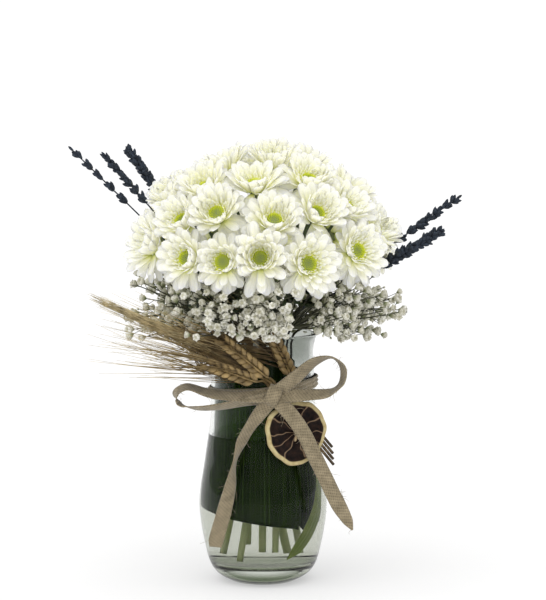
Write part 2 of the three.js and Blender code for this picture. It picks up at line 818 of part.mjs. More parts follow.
// ---------------------------------------------------------------- jute ribbon
// A flat strip through `stations` of [centre, width direction, share of the full width].
function ribbonStrip(stations) {
  const rings = stations.map(([centre, across, share = 1], k) => {
    const before = stations[Math.max(0, k - 1)][0];
    const after = stations[Math.min(stations.length - 1, k + 1)][0];
    const heading = after.clone().sub(before).normalize();
    const wide = along(across.clone(), heading, -across.dot(heading)).normalize();
    const thick = heading.clone().cross(wide).normalize();
    const half = (RIBBON_WIDTH / 2) * share;
    return [
      along(along(centre, wide, half), thick, RIBBON_THICKNESS / 2),
      along(along(centre, wide, -half), thick, RIBBON_THICKNESS / 2),
      along(along(centre, wide, -half), thick, -RIBBON_THICKNESS / 2),
      along(along(centre, wide, half), thick, -RIBBON_THICKNESS / 2),
    ];
  });
  return loft(rings);
}

// The band round the neck; it stands off the glass where the straws pass under it.
function ribbonBand() {
  const points = [];
  const faces = [];
  for (let i = 0; i < VASE_SIDES; i += 1) {
    const azimuth = (360 * i) / VASE_SIDES;
    const away = ((azimuth - TIE_AZIMUTH + 540) % 360) - 180;
    const lift = BAND_LIFT * Math.exp(-((away / 30) ** 4));
    const middle = BAND_HEIGHT + BAND_RISE * Math.sin(radians(azimuth));
    const [low, high] = [middle - RIBBON_WIDTH / 2, middle + RIBBON_WIDTH / 2];
    const inside = Math.max(vaseRadius(low), vaseRadius(high)) + GAP + lift;
    points.push(polar(azimuth, inside, low));
    points.push(polar(azimuth, inside + RIBBON_THICKNESS, low));
    points.push(polar(azimuth, inside + RIBBON_THICKNESS, high));
    points.push(polar(azimuth, inside, high));
  }
  for (let i = 0; i < VASE_SIDES; i += 1) {
    const j = (i + 1) % VASE_SIDES;
    for (let k = 0; k < 4; k += 1) {
      const l = (k + 1) % 4;
      faces.push([4 * i + k, 4 * j + k, 4 * j + l], [4 * i + k, 4 * j + l, 4 * i + l]);
    }
  }
  return meshOf(points, faces);
}

function buildRibbon() {
  const knot = new THREE.OctahedronGeometry(1, 1).scale(10, 5.8, 9).translate(...KNOT);
  const leftLoop = [
    [vec(5, -58, 170), vec(0, 0.5, 1)],
    [vec(-20, -61, 168), vec(0, 0.9, 1)],
    [vec(-46, -63, 173), vec(0, 1, 0.9)],
    [vec(-65, -63, 178), vec(-0.2, 1, 0.5)],
    [vec(-74, -62, 172), vec(-0.4, 1, 0.1)],
    [vec(-71, -62, 163), vec(0.2, 1, 0)],
    [vec(-58, -62, 158), vec(0.1, 1, -0.4)],
    [vec(-36, -62, 159), vec(0, 1, -0.8)],
    [vec(-14, -60, 164), vec(0, 0.7, -1)],
    [vec(5, -58, 168), vec(0, 0.5, -1)],
  ];
  const rightLoop = [
    [vec(11, -57, 172), vec(0.5, 0.3, -0.7)],
    [vec(28, -61, 186), vec(0.6, 0.5, -0.7)],
    [vec(45, -62, 200), vec(0.5, 1, -0.6)],
    [vec(59, -62, 203), vec(0, 1, -0.2)],
    [vec(68, -61, 195), vec(-0.4, 1, 0)],
    [vec(67, -60, 181), vec(-0.3, 1, 0)],
    [vec(57, -60, 173), vec(0.3, 1, 0.5)],
    [vec(36, -59, 171), vec(0, 1, 0.9)],
    [vec(11, -57, 170), vec(0, 0.3, 1)],
  ];
  const leftTail = [
    [vec(8, -58, 168), vec(0.75, 0, 0.5)],
    [vec(-6, -57, 150), vec(0.75, 0.1, 0.5)],
    [vec(-17, -54, 132), vec(0.8, 0.5, 0.4)],
    [vec(-24, -54, 112), vec(0.3, 1, 0.1), 0.9],
    [vec(-28, -54, 90), vec(0.8, 0.7, 0)],
    [vec(-34, -51.5, 66), vec(1, 0.2, -0.2)],
    [vec(-40, -47, 44), vec(1, 0.1, -0.2)],
    [vec(-41, -46, 37), vec(1, 0.1, -0.2), 0.45],
  ];
  const rightTail = [
    [vec(10, -60, 169), vec(0.8, 0.1, 0.5)],
    [vec(23, -60, 155), vec(0.8, 0.2, 0.55)],
    [vec(35, -56, 137), vec(0.85, 0.25, 0.5)],
    [vec(44, -53, 118), vec(0.9, 0.25, 0.45)],
    [vec(54, -50, 97), vec(0.9, 0.2, 0.5)],
    [vec(64, -49, 76), vec(0.9, 0.2, 0.5)],
    [vec(77, -48, 52), vec(0.9, 0.2, 0.5), 0.1],
  ];
  const strips = [leftLoop, rightLoop, leftTail, rightTail].map((s) => ribbonStrip(s));
  addSolid("jute_ribbon", fused([ribbonBand(), knot, ...strips]), jute);
}

// ---------------------------------------------------------------- dried citrus slice
// A disc with a raised rind and pleated segments, shrunk into a slightly wavy outline.
function buildSlice() {
  const spokes = 2 * SLICE_SEGMENTS;
  const half = SLICE_THICKNESS / 2;
  const centre = wheatPoint(15, 137 - TIE_HEIGHT, STRAW + GAP + half);
  const [u, v] = crossAxes(TIE_OUT);
  const at = (radius, k, height) => {
    const a = (2 * Math.PI * k) / spokes;
    const wavy = radius * (1 + 0.02 * Math.sin(3 * a) + 0.012 * Math.sin(7 * a));
    const flat = along(along(centre, u, wavy * Math.cos(a)), v, wavy * 1.04 * Math.sin(a));
    return along(flat, TIE_OUT, height);
  };
  const circle = (radius, height, dip) => {
    return Array.from({ length: spokes }, (_, k) => {
      return at(radius, k, height + (k % 2 ? dip : 0));
    });
  };
  const rind = SLICE_RADIUS - 3;
  const rings = [
    [at(0, 0, half - 0.6)],
    circle(rind - 1, half - 0.7, -1.1),
    circle(rind, half, 0),
    circle(SLICE_RADIUS, half * 0.5, 0),
    circle(SLICE_RADIUS, -half * 0.5, 0),
    circle(rind, -half, 0),
    circle(rind - 1, 0.7 - half, 1.1),
    [at(0, 0, 0.6 - half)],
  ];
  addSolid("citrus_slice", solidOf(loft(rings)), citrus);
}

// ---------------------------------------------------------------- baby's breath
const GYP_AZIMUTHS = [-25, 28, 98, 152, -156, -100];
const GYP_BRANCHES = 4;
const GYP_HEADS = 2; // beside the one at a branch's end
const GYP_HEAD = 3.7;
const GYP_FOOT = 134; // the short dry stems end above the water

// A round head on its stalk, as one skin.
function gypHead(seat, end, stalk, extra = 0) {
  const heading = end.clone().sub(seat).normalize();
  const radius = GYP_HEAD + extra;
  return loft([
    ring(seat, heading, stalk + extra, 3),
    ring(along(end, heading, -radius), heading, stalk * 0.7 + extra, 3),
    ring(end, heading, radius, 4),
    [along(end, heading, radius * 0.8)],
  ]);
}

function tryPlaces(tries, propose) {
  for (let k = 0; k < tries; k += 1) {
    const place = propose();
    if (isClear(place.skin)) return place;
  }
  return null;
}

// One spray: a stem through the neck, branches that fan out under the blooms, and round heads.
function gypSpray(azimuth, random) {
  const fork = polar(azimuth, 50, 226);
  const heights = [GYP_FOOT, NECK_TOP, 216];
  const path = [...heights.map((z) => sheafPoint(azimuth, 0.93, z)), fork];
  const parts = [stem(path, GYP_STEM, 3, 4)];
  const wider = 14 * Math.sin(radians(azimuth)) ** 2; // the sides spread further than the front
  for (let b = 0; b < GYP_BRANCHES; b += 1) {
    const turn = (b - (GYP_BRANCHES - 1) / 2) * 16;
    const branch = tryPlaces(40, () => {
      const reach = random(92, 116) + wider;
      const end = polar(azimuth + turn + random(-5, 5), reach, random(224, 272 + wider));
      return { end, skin: gypHead(fork, end, 1.1, 0.4) };
    });
    if (!branch) continue;
    const heading = branch.end.clone().sub(fork).normalize();
    parts.push(gypHead(fork, branch.end, 1.1));
    for (let h = 0; h < GYP_HEADS; h += 1) {
      const seat = along(branch.end, heading, -(h * 12 + 12));
      const twig = tryPlaces(40, () => {
        const spread = vec(random(-1, 1), random(-1, 1), random(-0.7, 0.9)).normalize();
        const lie = along(heading.clone().multiplyScalar(0.8), spread, 1).normalize();
        const end = along(seat, lie, random(13, 24));
        return { end, skin: gypHead(along(seat, lie, 0.5), end, 0.6, 0.4) };
      });
      if (twig) parts.push(gypHead(seat, twig.end, 0.6));
    }
  }
  return fused(parts);
}

function buildGypsophila() {
  const random = seeded(71);
  GYP_AZIMUTHS.forEach((azimuth, index) => {
    addSolid(`gypsophila_${index + 1}`, gypSpray(azimuth, random), gypCream);
  });
}

// ---------------------------------------------------------------- the water and its holes
function buildWater() {
  const holes = [solidOf(linerLeaf(GAP)), solidOf(wallBlade(GAP))];
  for (const { path } of SPRAYS) {
    const heading = path[1].clone().sub(path[0]).normalize();
    const radius = MUM_STEM + GAP + 0.15;
    const end = [along(path[0], heading, -GAP), along(path[0], heading, 3)];
    holes.push(solidOf(stem(path, radius, 5, MUM_STEM_STEPS)));
    holes.push(solidOf(loft(end.map((point) => ring(point, heading, radius, 5)))));
  }
  return waterBody().subtract(wasm.Manifold.union(holes)).simplify(FUSE_TOLERANCE);
}

// ---------------------------------------------------------------- assembly
addSolid("glass_vase", buildVase(), glass);
addSolid("liner_leaf", solidOf(linerLeaf(0)), darkLeaf);
addSolid("blade_leaf", solidOf(wallBlade(0)), bladeLeaf);
buildSprays();
buildBlooms();
buildLavender();
buildWheat();
buildRibbon();
buildSlice();
buildGypsophila();

addSolid("water", buildWater(), water);

export default vaseWithDaisies;
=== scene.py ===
# %% [markdown]
# # Daisy chrysanthemums in a glass vase
# A hand-tied bouquet stands in a clear vase: white spray chrysanthemums, baby's breath, dried
# lavender and bearded wheat, with a jute bow and a dried citrus slice tied to the neck. Each
# lesson below takes one of these things, says what it is, and grows it from a formula.

# %% Setting the table
import json
import math

import bpy
import numpy as np
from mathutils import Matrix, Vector
from mathutils.bvhtree import BVHTree

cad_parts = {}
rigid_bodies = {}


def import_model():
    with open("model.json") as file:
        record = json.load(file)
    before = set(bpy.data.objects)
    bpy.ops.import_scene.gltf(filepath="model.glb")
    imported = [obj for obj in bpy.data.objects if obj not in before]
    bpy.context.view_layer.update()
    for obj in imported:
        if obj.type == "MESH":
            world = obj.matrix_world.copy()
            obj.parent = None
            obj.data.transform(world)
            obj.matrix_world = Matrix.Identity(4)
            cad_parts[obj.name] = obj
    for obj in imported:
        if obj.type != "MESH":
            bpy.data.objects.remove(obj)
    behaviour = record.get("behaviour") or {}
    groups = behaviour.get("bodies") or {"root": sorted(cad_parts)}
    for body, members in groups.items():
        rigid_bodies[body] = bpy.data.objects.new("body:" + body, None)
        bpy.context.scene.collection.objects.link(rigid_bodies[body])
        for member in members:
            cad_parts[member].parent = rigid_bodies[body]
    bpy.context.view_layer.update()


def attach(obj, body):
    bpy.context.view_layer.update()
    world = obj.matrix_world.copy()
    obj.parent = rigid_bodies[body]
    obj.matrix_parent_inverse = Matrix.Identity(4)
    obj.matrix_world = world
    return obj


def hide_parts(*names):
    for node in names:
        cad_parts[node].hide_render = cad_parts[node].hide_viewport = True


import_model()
MM = 0.001  # everything below is thought out in millimetres

# %% [markdown]
# ## The camera
# The bouquet is seen from the front and a little from above, through a long lens from far enough
# away that the vase's sides stay upright. The frame is 546 by 600, so the sensor's long side runs
# up the picture.

# %% Camera
CAMERA_AT = Vector((0.0087, -1.9, 0.42))
LOOKS_AT = Vector((0.0087, 0.0, 0.2464))
camera_data = bpy.data.cameras.new("camera")
camera_data.lens = 131.0
camera_data.sensor_width = 36.0
camera = bpy.data.objects.new("camera", camera_data)
camera.location = CAMERA_AT
camera.rotation_euler = (LOOKS_AT - CAMERA_AT).to_track_quat("-Z", "Y").to_euler()
bpy.context.scene.collection.objects.link(camera)
bpy.context.scene.camera = camera

# %% [markdown]
# ## Directions and smooth paths
# The vase is round, so places are easiest to say as an azimuth (0 is the front, growing to the
# right), a distance from the middle, and a height. Stems and ribbons are smooth curves through a
# few known points: a Catmull-Rom curve passes through every one of them.


# %% Directions
def polar(azimuth, radius, z):
    """Point at an azimuth in degrees: (radius sin a, -radius cos a, z)."""
    a, radius, z = np.broadcast_arrays(np.radians(azimuth), radius, z)
    return np.stack([radius * np.sin(a), -radius * np.cos(a), z], axis=-1).astype(float)


def direction(azimuth, elevation):
    """Unit vector at an azimuth and an elevation, both in degrees."""
    e = np.radians(elevation)
    return polar(azimuth, np.cos(e), np.sin(e))


def unit(v):
    """The same direction, one long."""
    return v / np.maximum(np.linalg.norm(v, axis=-1, keepdims=True), 1e-9)


def cross_axes(heading):
    """Two unit vectors square to each heading and to each other."""
    side = np.where(np.abs(heading[..., 2:3]) < 0.9, [0.0, 0.0, 1.0], [1.0, 0.0, 0.0])
    u = unit(np.cross(side, heading))
    return u, np.cross(heading, u)


def spans(points, count):
    """The four points round each of `count` places along a curve, and how far into its span each
    place lies. One mirrored point is added beyond either end."""
    p = np.asarray(points, float)
    p = np.vstack([2 * p[0] - p[1], p, 2 * p[-1] - p[-2]])
    t = np.linspace(0, len(p) - 3, count)
    i = np.minimum(t.astype(int), len(p) - 4)
    return (p[i], p[i + 1], p[i + 2], p[i + 3]), (t - i)[:, None]


def cubic(b, c, m1, m2, w):
    """From b to c with the slopes m1 and m2 at its ends."""
    return b + m1 * w + (3 * (c - b) - 2 * m1 - m2) * w**2 + (2 * (b - c) + m1 + m2) * w**3


def smooth_path(points, count):
    """Curve through the points: on each span a cubic whose end slopes come from the neighbours,
    weighed by the square roots of the gaps, so that it neither loops nor overshoots."""
    (a, b, c, d), w = spans(points, count)
    d0, d1, d2 = (
        np.sqrt(np.linalg.norm(y - x, axis=1, keepdims=True)) + 1e-9
        for x, y in ((a, b), (b, c), (c, d))
    )
    m1 = ((b - a) / d0 - (c - a) / (d0 + d1) + (c - b) / d1) * d1
    m2 = ((c - b) / d1 - (d - b) / (d1 + d2) + (d - c) / d2) * d1
    return cubic(b, c, m1, m2, w)


def uniform_path(points, count):
    """Curve through the points whose slope at each is half the chord between its neighbours."""
    (a, b, c, d), w = spans(points, count)
    return cubic(b, c, (c - a) / 2, (d - b) / 2, w)


# %% [markdown]
# ## From arrays to a mesh
# A surface is a grid of points, so its faces are known from the grid alone: each cell joins a
# point to its neighbours along and around. A body that runs along a path is a row of rings with a
# point at each end, which closes it. `piece` puts any number of such bodies into one mesh, turns
# the faces outwards by the sign of the volume, and hands over values that the finishes read.


# %% Mesh helpers
def ring_faces(rings, sides, first=0):
    """Quads of a closed grid of rings, and triangles to one pole before and one after it. The
    points are rings * sides, then the two poles."""
    r, s = np.meshgrid(np.arange(rings - 1), np.arange(sides), indexing="ij")
    a = r * sides + s
    b = r * sides + (s + 1) % sides
    quads = np.stack([a, b, b + sides, a + sides], axis=-1).reshape(-1, 4)
    k = np.arange(sides)
    low = np.stack([(k + 1) % sides, k, np.full(sides, rings * sides)], axis=-1)
    last = (rings - 1) * sides
    high = np.stack([last + k, last + (k + 1) % sides, np.full(sides, rings * sides + 1)], -1)
    return quads + first, np.vstack([low, high]) + first


def bodies(rings, tips, values=None):
    """Many closed bodies of the same build. `rings` is (bodies, rings, sides, 3) and `tips` is
    (bodies, 2, 3), the poles at either end. `values` are (bodies, rings, sides) each."""
    count, n, sides, _ = rings.shape
    size = n * sides + 2
    points = np.concatenate([rings.reshape(count, -1, 3), tips], axis=1)
    quads, triangles = ring_faces(n, sides)
    step = (np.arange(count) * size)[:, None, None]
    out = {}
    for key, value in (values or {}).items():
        value = np.broadcast_to(value, (count, n, sides))
        ends = np.stack([value[:, 0].mean(axis=1), value[:, -1].mean(axis=1)], axis=1)
        out[key] = np.concatenate([value.reshape(count, -1), ends], axis=1).ravel()
    return {
        "points": points.reshape(-1, 3),
        "quads": (quads[None] + step).reshape(-1, 4),
        "triangles": (triangles[None] + step).reshape(-1, 3),
        "values": out,
    }


def outward(part):
    """Turns every face round where the volume, the sum of p0 . (p1 x p2) / 6, is negative."""
    q = part["quads"]
    t = np.vstack([part["triangles"], q[:, [0, 1, 2]], q[:, [0, 2, 3]]])
    p = part["points"] - part["points"].mean(axis=0)
    volume = np.einsum("ij,ij->i", p[t[:, 0]], np.cross(p[t[:, 1]], p[t[:, 2]])).sum() / 6
    if volume < 0:
        part["quads"] = q[:, ::-1]
        part["triangles"] = part["triangles"][:, ::-1]
    return part


def piece(name, parts, material, replaces=()):
    """One object from closed parts, in place, riding on the root body."""
    points, loops, totals, values, start = [], [], [], {}, 0
    keys = {key for part in parts for key in part["values"]}
    for part in map(outward, parts):
        count = len(part["points"])
        points.append(part["points"])
        loops += [(part["quads"] + start).ravel(), (part["triangles"] + start).ravel()]
        totals += [np.full(len(part["quads"]), 4), np.full(len(part["triangles"]), 3)]
        for key in keys:
            values.setdefault(key, []).append(part["values"].get(key, np.zeros(count)))
        start += count
    points = np.concatenate(points) * MM
    loops, totals = np.concatenate(loops).astype(np.int32), np.concatenate(totals)
    mesh = bpy.data.meshes.new(name)
    mesh.vertices.add(len(points))
    mesh.vertices.foreach_set("co", points.astype(np.float32).ravel())
    mesh.loops.add(len(loops))
    mesh.loops.foreach_set("vertex_index", loops)
    mesh.polygons.add(len(totals))
    mesh.polygons.foreach_set("loop_start", (np.cumsum(totals) - totals).astype(np.int32))
    mesh.polygons.foreach_set("use_smooth", np.ones(len(totals), bool))
    mesh.update(calc_edges=True)
    for key in sorted(keys):
        layer = mesh.attributes.new(key, "FLOAT", "POINT")
        layer.data.foreach_set("value", np.concatenate(values[key]).astype(np.float32))
    if "u" in keys and "v" in keys:
        uv = mesh.uv_layers.new(name="uv")
        both = np.stack([np.concatenate(values["u"]), np.concatenate(values["v"])], axis=-1)
        uv.data.foreach_set("uv", both[loops].astype(np.float32).ravel())
    mesh.validate()
    mesh.materials.append(material)
    thing = bpy.data.objects.new(name, mesh)
    bpy.context.scene.collection.objects.link(thing)
    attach(thing, "root")
    if replaces:
        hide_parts(*replaces)
    triangle_count = int((totals - 2).sum())
    print(f"{name}: {triangle_count} triangles")
    return thing


def tubes(paths, radii, sides=6, values=None):
    """Round stems: a circle of the given radius carried along each path. `paths` is (stems,
    points, 3); radii are one number, or one for each point."""
    paths = np.asarray(paths, float)
    tangent = unit(np.gradient(paths, axis=1))
    mean = unit(tangent.mean(axis=1))
    pick = np.eye(3)[np.argmin(np.abs(mean), axis=1)][:, None]
    u = unit(np.cross(np.broadcast_to(pick, tangent.shape), tangent))
    v = np.cross(tangent, u)
    a = 2 * np.pi * np.arange(sides) / sides
    r = np.broadcast_to(radii, paths.shape[:2])[..., None, None]
    circle = u[:, :, None] * np.cos(a)[:, None] + v[:, :, None] * np.sin(a)[:, None]
    rings = paths[:, :, None] + r * circle
    tips = paths[:, [0, -1]]
    share = np.linspace(0, 1, paths.shape[1])[None, :, None]
    return bodies(rings, tips, {"along": share, **(values or {})})


def circles(centres, headings, radii, sides):
    """Rings round the centres of each body, (bodies, rings, 3), square to the body's heading."""
    a, b = cross_axes(headings)
    k = 2 * np.pi * np.arange(sides) / sides
    circle = a[:, None, None] * np.cos(k)[:, None] + b[:, None, None] * np.sin(k)[:, None]
    return centres[:, :, None] + circle * radii[..., None, None]


def revolved(profile, sides):
    """A profile of (radius, z) turned round the z axis, with its first and last point on it."""
    profile = np.asarray(profile, float)
    azimuths = 360 * np.arange(sides) / sides
    inner = profile[1:-1]
    rings = polar(azimuths[None], inner[:, :1], inner[:, 1:2])[None]
    tips = np.array([[[0, 0, profile[0, 1]], [0, 0, profile[-1, 1]]]])
    return bodies(rings, tips)


# %% [markdown]
# ## Finishes: the shared effects
# Plants are never one flat colour. Two effects come back in nearly every finish here: a fine
# mottling that shifts a colour a little from place to place, and a bump from fine fibres or veins.
# Each is a node group with named inputs, built once and given other values in each material.


# %% Node helpers
def wire(tree, *pairs):
    """Links each output socket to the input socket beside it."""
    for source, target in pairs:
        tree.links.new(source, target)


def new_group(name, inputs, outputs):
    """A shader node group with named sockets; returns (group, input node, output node)."""
    group = bpy.data.node_groups.new(name, "ShaderNodeTree")
    for label, kind, value in inputs:
        socket = group.interface.new_socket(name=label, in_out="INPUT", socket_type=kind)
        if value is not None:
            socket.default_value = value
    for label, kind in outputs:
        group.interface.new_socket(name=label, in_out="OUTPUT", socket_type=kind)
    return group, group.nodes.new("NodeGroupInput"), group.nodes.new("NodeGroupOutput")


FLOAT, COLOUR, VECTOR = "NodeSocketFloat", "NodeSocketColor", "NodeSocketVector"


def mottle_group():
    """Colour = Light where a soft noise is high and Dark where it is low."""
    group, into, out = new_group(
        "mottle",
        [("Vector", VECTOR, None), ("Scale", FLOAT, 200.0), ("Light", COLOUR, (1, 1, 1, 1)),
         ("Dark", COLOUR, (0, 0, 0, 1)), ("Contrast", FLOAT, 1.0)],
        [("Color", COLOUR), ("Mask", FLOAT)],
    )
    noise = group.nodes.new("ShaderNodeTexNoise")
    noise.inputs["Detail"].default_value = 4.0
    spread = group.nodes.new("ShaderNodeMapRange")
    spread.inputs["From Min"].default_value = 0.3
    spread.inputs["From Max"].default_value = 0.7
    power = group.nodes.new("ShaderNodeMath")
    power.operation = "POWER"
    mix = group.nodes.new("ShaderNodeMix")
    mix.data_type = "RGBA"
    given, mask = into.outputs, power.outputs[0]
    wire(group, (given["Vector"], noise.inputs["Vector"]), (given["Scale"], noise.inputs["Scale"]),
         (noise.outputs["Fac"], spread.inputs["Value"]),
         (spread.outputs["Result"], power.inputs[0]), (given["Contrast"], power.inputs[1]),
         (mask, mix.inputs["Factor"]), (given["Dark"], mix.inputs["A"]),
         (given["Light"], mix.inputs["B"]),
         (mix.outputs["Result"], out.inputs["Color"]), (mask, out.inputs["Mask"]))
    return group


def fibre_group():
    """Height = fine lines along z: a noise that changes `Across` times to a metre in x and y, and
    `Along` times in z."""
    group, into, out = new_group(
        "fibres",
        [("Vector", VECTOR, None), ("Across", FLOAT, 400.0), ("Along", FLOAT, 30.0)],
        [("Height", FLOAT)],
    )
    stretch = group.nodes.new("ShaderNodeCombineXYZ")
    scale = group.nodes.new("ShaderNodeVectorMath")
    scale.operation = "MULTIPLY"
    noise = group.nodes.new("ShaderNodeTexNoise")
    noise.inputs["Scale"].default_value = 1.0
    noise.inputs["Detail"].default_value = 3.0
    given = into.outputs
    wire(group, (given["Across"], stretch.inputs["X"]), (given["Across"], stretch.inputs["Y"]),
         (given["Along"], stretch.inputs["Z"]),
         (given["Vector"], scale.inputs[0]), (stretch.outputs[0], scale.inputs[1]),
         (scale.outputs[0], noise.inputs["Vector"]), (noise.outputs["Fac"], out.inputs["Height"]))
    return group


MOTTLE, FIBRES = mottle_group(), fibre_group()


class Finish:
    """A material with its Principled shader and short ways to add the nodes used below."""

    def __init__(self, name, roughness=0.6):
        self.material = bpy.data.materials.new(name)
        self.material.use_nodes = True
        self.tree = self.material.node_tree
        self.shader = self.tree.nodes["Principled BSDF"]
        self.shader.inputs["Roughness"].default_value = roughness
        self.place = self.tree.nodes.new("ShaderNodeTexCoord").outputs["Object"]

    def add(self, kind, **settings):
        """A new node with its settings."""
        node = self.tree.nodes.new(kind)
        for key, value in settings.items():
            setattr(node, key, value)
        return node

    def link(self, source, target):
        self.tree.links.new(source, target)

    def set(self, values):
        """Numbers and colours that are the same all over the surface."""
        for name, value in values.items():
            self.shader.inputs[name].default_value = value

    def glow(self, colour, strength):
        """A faint light of the surface's own colour."""
        self.link(colour, self.shader.inputs["Emission Color"])
        self.set({"Emission Strength": strength})

    def noise(self, scale, detail=2.0):
        """A soft noise over the object's own coordinates."""
        node = self.add("ShaderNodeTexNoise")
        node.inputs["Scale"].default_value = scale
        node.inputs["Detail"].default_value = detail
        self.link(self.place, node.inputs["Vector"])
        return node.outputs["Fac"]

    def value(self, name):
        """What the mesh says about this point, such as how far along its petal it is."""
        return self.add("ShaderNodeAttribute", attribute_name=name).outputs["Fac"]

    def ramp(self, source, stops):
        """Colours at positions 0..1 along a value."""
        node = self.add("ShaderNodeValToRGB")
        elements = node.color_ramp.elements
        while len(elements) < len(stops):
            elements.new(0.5)
        for element, (position, colour) in zip(elements, stops):
            element.position = position
            element.color = (*colour, 1.0)
        self.link(source, node.inputs["Fac"])
        return node.outputs["Color"]

    def mix(self, mask, low, high, blend="MIX"):
        """A mix of two colours, each a socket or three numbers."""
        node = self.add("ShaderNodeMix", data_type="RGBA", blend_type=blend)
        for source, socket in ((mask, "Factor"), (low, "A"), (high, "B")):
            target = node.inputs[socket]
            if isinstance(source, (int, float)):
                target.default_value = source
            elif isinstance(source, tuple):
                target.default_value = (*source, 1.0)
            else:
                self.link(source, target)
        return node.outputs["Result"]

    def math(self, operation, *values):
        """One sum over numbers or sockets."""
        node = self.add("ShaderNodeMath", operation=operation)
        for k, value in enumerate(values):
            if isinstance(value, (int, float)):
                node.inputs[k].default_value = value
            else:
                self.link(value, node.inputs[k])
        return node.outputs[0]

    def mottled(self, scale, light, dark, contrast=1.0):
        """Two colours, each a socket or three numbers, in soft patches; and the patches alone."""
        node = self.add("ShaderNodeGroup", node_tree=MOTTLE)
        self.link(self.place, node.inputs["Vector"])
        node.inputs["Scale"].default_value = scale
        node.inputs["Contrast"].default_value = contrast
        for colour, socket in ((light, "Light"), (dark, "Dark")):
            if isinstance(colour, tuple):
                node.inputs[socket].default_value = (*colour, 1.0)
            else:
                self.link(colour, node.inputs[socket])
        return node.outputs["Color"], node.outputs["Mask"]

    def fibres(self, across, along):
        """Fine lines as a height: `across` waves to a metre sideways, `along` upwards."""
        node = self.add("ShaderNodeGroup", node_tree=FIBRES)
        self.link(self.place, node.inputs["Vector"])
        node.inputs["Across"].default_value = across
        node.inputs["Along"].default_value = along
        return node.outputs["Height"]

    def colour(self, source):
        """What the surface's own colour is."""
        self.link(source, self.shader.inputs["Base Color"])

    def bump(self, height, distance, strength=1.0):
        """Light and shade as if the surface rose by the height times a distance in metres."""
        node = self.add("ShaderNodeBump")
        node.inputs["Strength"].default_value = strength
        node.inputs["Distance"].default_value = distance
        self.link(height, node.inputs["Height"])
        self.link(node.outputs["Normal"], self.shader.inputs["Normal"])


# %% [markdown]
# ## Glass and water
# The vase is clear glass with a thick base, full of water to a little over half its height. Both
# are turned shapes, so each is one profile spun round the middle. Glass bends light a little more
# than water, 1.5 against 1.33. The water reaches a hair into the wall: a gap of air there would
# mirror the light away, which wet glass never does. The thick foot would gather the green of
# everything above it; that green is a painted reflection in the glass's colour, darkest and
# greenest at the foot. Near the rim, where stems crowd behind it, painted shade makes the glass
# greyer than at the belly.

# %% Vase profile
VASE_SIDES = 144
VASE_OUTLINE = [(29, 0), (42, 8), (49.5, 24), (56.2, 66), (51, 108), (46.4, 142), (45.6, 172),
                (43.8, 201), (47, 218)]
VASE_HEIGHT = 218.0
VASE_WALL = 3.0
VASE_FLOOR = 16.0
LIP_RADIUS, LIP_HEIGHT, LIP_ROUND = 45.4, 216.5, 1.5
WATER_LEVEL = 129.0
WATER_GAP = -0.3
FOOT_HEIGHT, FOOT_CURVE, FOOT_WALL = 40, 24, 6

outline = uniform_path(VASE_OUTLINE, 400)


def vase_radius(z):
    """Outer radius of the glass at a height, read off its outline."""
    return np.interp(z, outline[:, 1], outline[:, 0])


def bore_radius(z):
    """Inner radius: an even wall, below 40 mm thicker by 6 ((40 - z) / 24) squared."""
    thicker = FOOT_WALL * np.maximum(0, (FOOT_HEIGHT - z) / FOOT_CURVE) ** 2
    return vase_radius(z) - VASE_WALL - thicker


# %% Vase and water bodies
RAMP_METRES = 0.24  # the ramp of the glass's colour runs from the table to this height
glass = Finish("clear_glass", 0.0)
place = glass.add("ShaderNodeSeparateXYZ")
glass.link(glass.place, place.inputs[0])
height_share = glass.math("MULTIPLY", place.outputs["Z"], 1 / RAMP_METRES)
# painted reflection and painted shade: green and dark at the foot, grey near the rim
glass.colour(glass.ramp(height_share, [
    (0.0, (0.06, 0.09, 0.04)), (0.034, (0.13, 0.17, 0.10)), (0.058, (0.60, 0.63, 0.57)),
    (0.1, (0.86, 0.88, 0.865)), (0.7, (0.84, 0.86, 0.845)), (0.84, (0.46, 0.48, 0.45))]))
glass.set({"Transmission Weight": 1.0, "IOR": 1.5, "Specular Tint": (0.16, 0.17, 0.17, 1.0)})
still_water = Finish("still_water", 0.0)
still_water.set({"Base Color": (0.66, 0.655, 0.59, 1.0), "Transmission Weight": 1.0, "IOR": 1.33,
                 "Specular Tint": (0.12, 0.12, 0.12, 1.0)})

climb = np.linspace(0, 1, 70)
outer_z = 1.2 + (VASE_HEIGHT - 2.6) * climb
foot = [(0, 1.6), (20, 1.2), (25.5, 0.25), (28, 0.0), (30.2, 0.35)]
lip_angle = np.radians(np.linspace(-20, 200, 9))
lip = np.stack([LIP_RADIUS + LIP_ROUND * np.cos(lip_angle),
                LIP_HEIGHT + LIP_ROUND * np.sin(lip_angle)], 1)
inner_z = 20 + (212.5 - 20) * climb[::-1]
well = [(bore_radius(17.5) - 0.3, 17.6), (bore_radius(16) - 2.5, 16.25), (20, 16.0), (0, 16.0)]
vase_profile = np.vstack([
    foot,
    np.stack([vase_radius(outer_z), outer_z], 1)[1:-1],
    lip,
    np.stack([bore_radius(inner_z), inner_z], 1),
    well,
])
piece("vase", [revolved(vase_profile, VASE_SIDES)], glass.material, ["glass_vase"])

water_z = np.linspace(20, WATER_LEVEL, 50)
low_water = VASE_FLOOR + WATER_GAP
brim = bore_radius(WATER_LEVEL)
water_profile = np.vstack([
    [(0, low_water), (20, low_water), (bore_radius(16) - 3, low_water + 0.3),
     (bore_radius(17.5) - 0.9, low_water + 1.6)],
    np.stack([bore_radius(water_z) - WATER_GAP, water_z], 1),
    [(brim - 1.0, WATER_LEVEL - 0.5), (brim - 2.4, WATER_LEVEL - 0.9),
     (brim - 5, WATER_LEVEL - 1.1), (0, WATER_LEVEL - 1.1)],
])
piece("vase_water", [revolved(water_profile, VASE_SIDES)], still_water.material, ["water"])

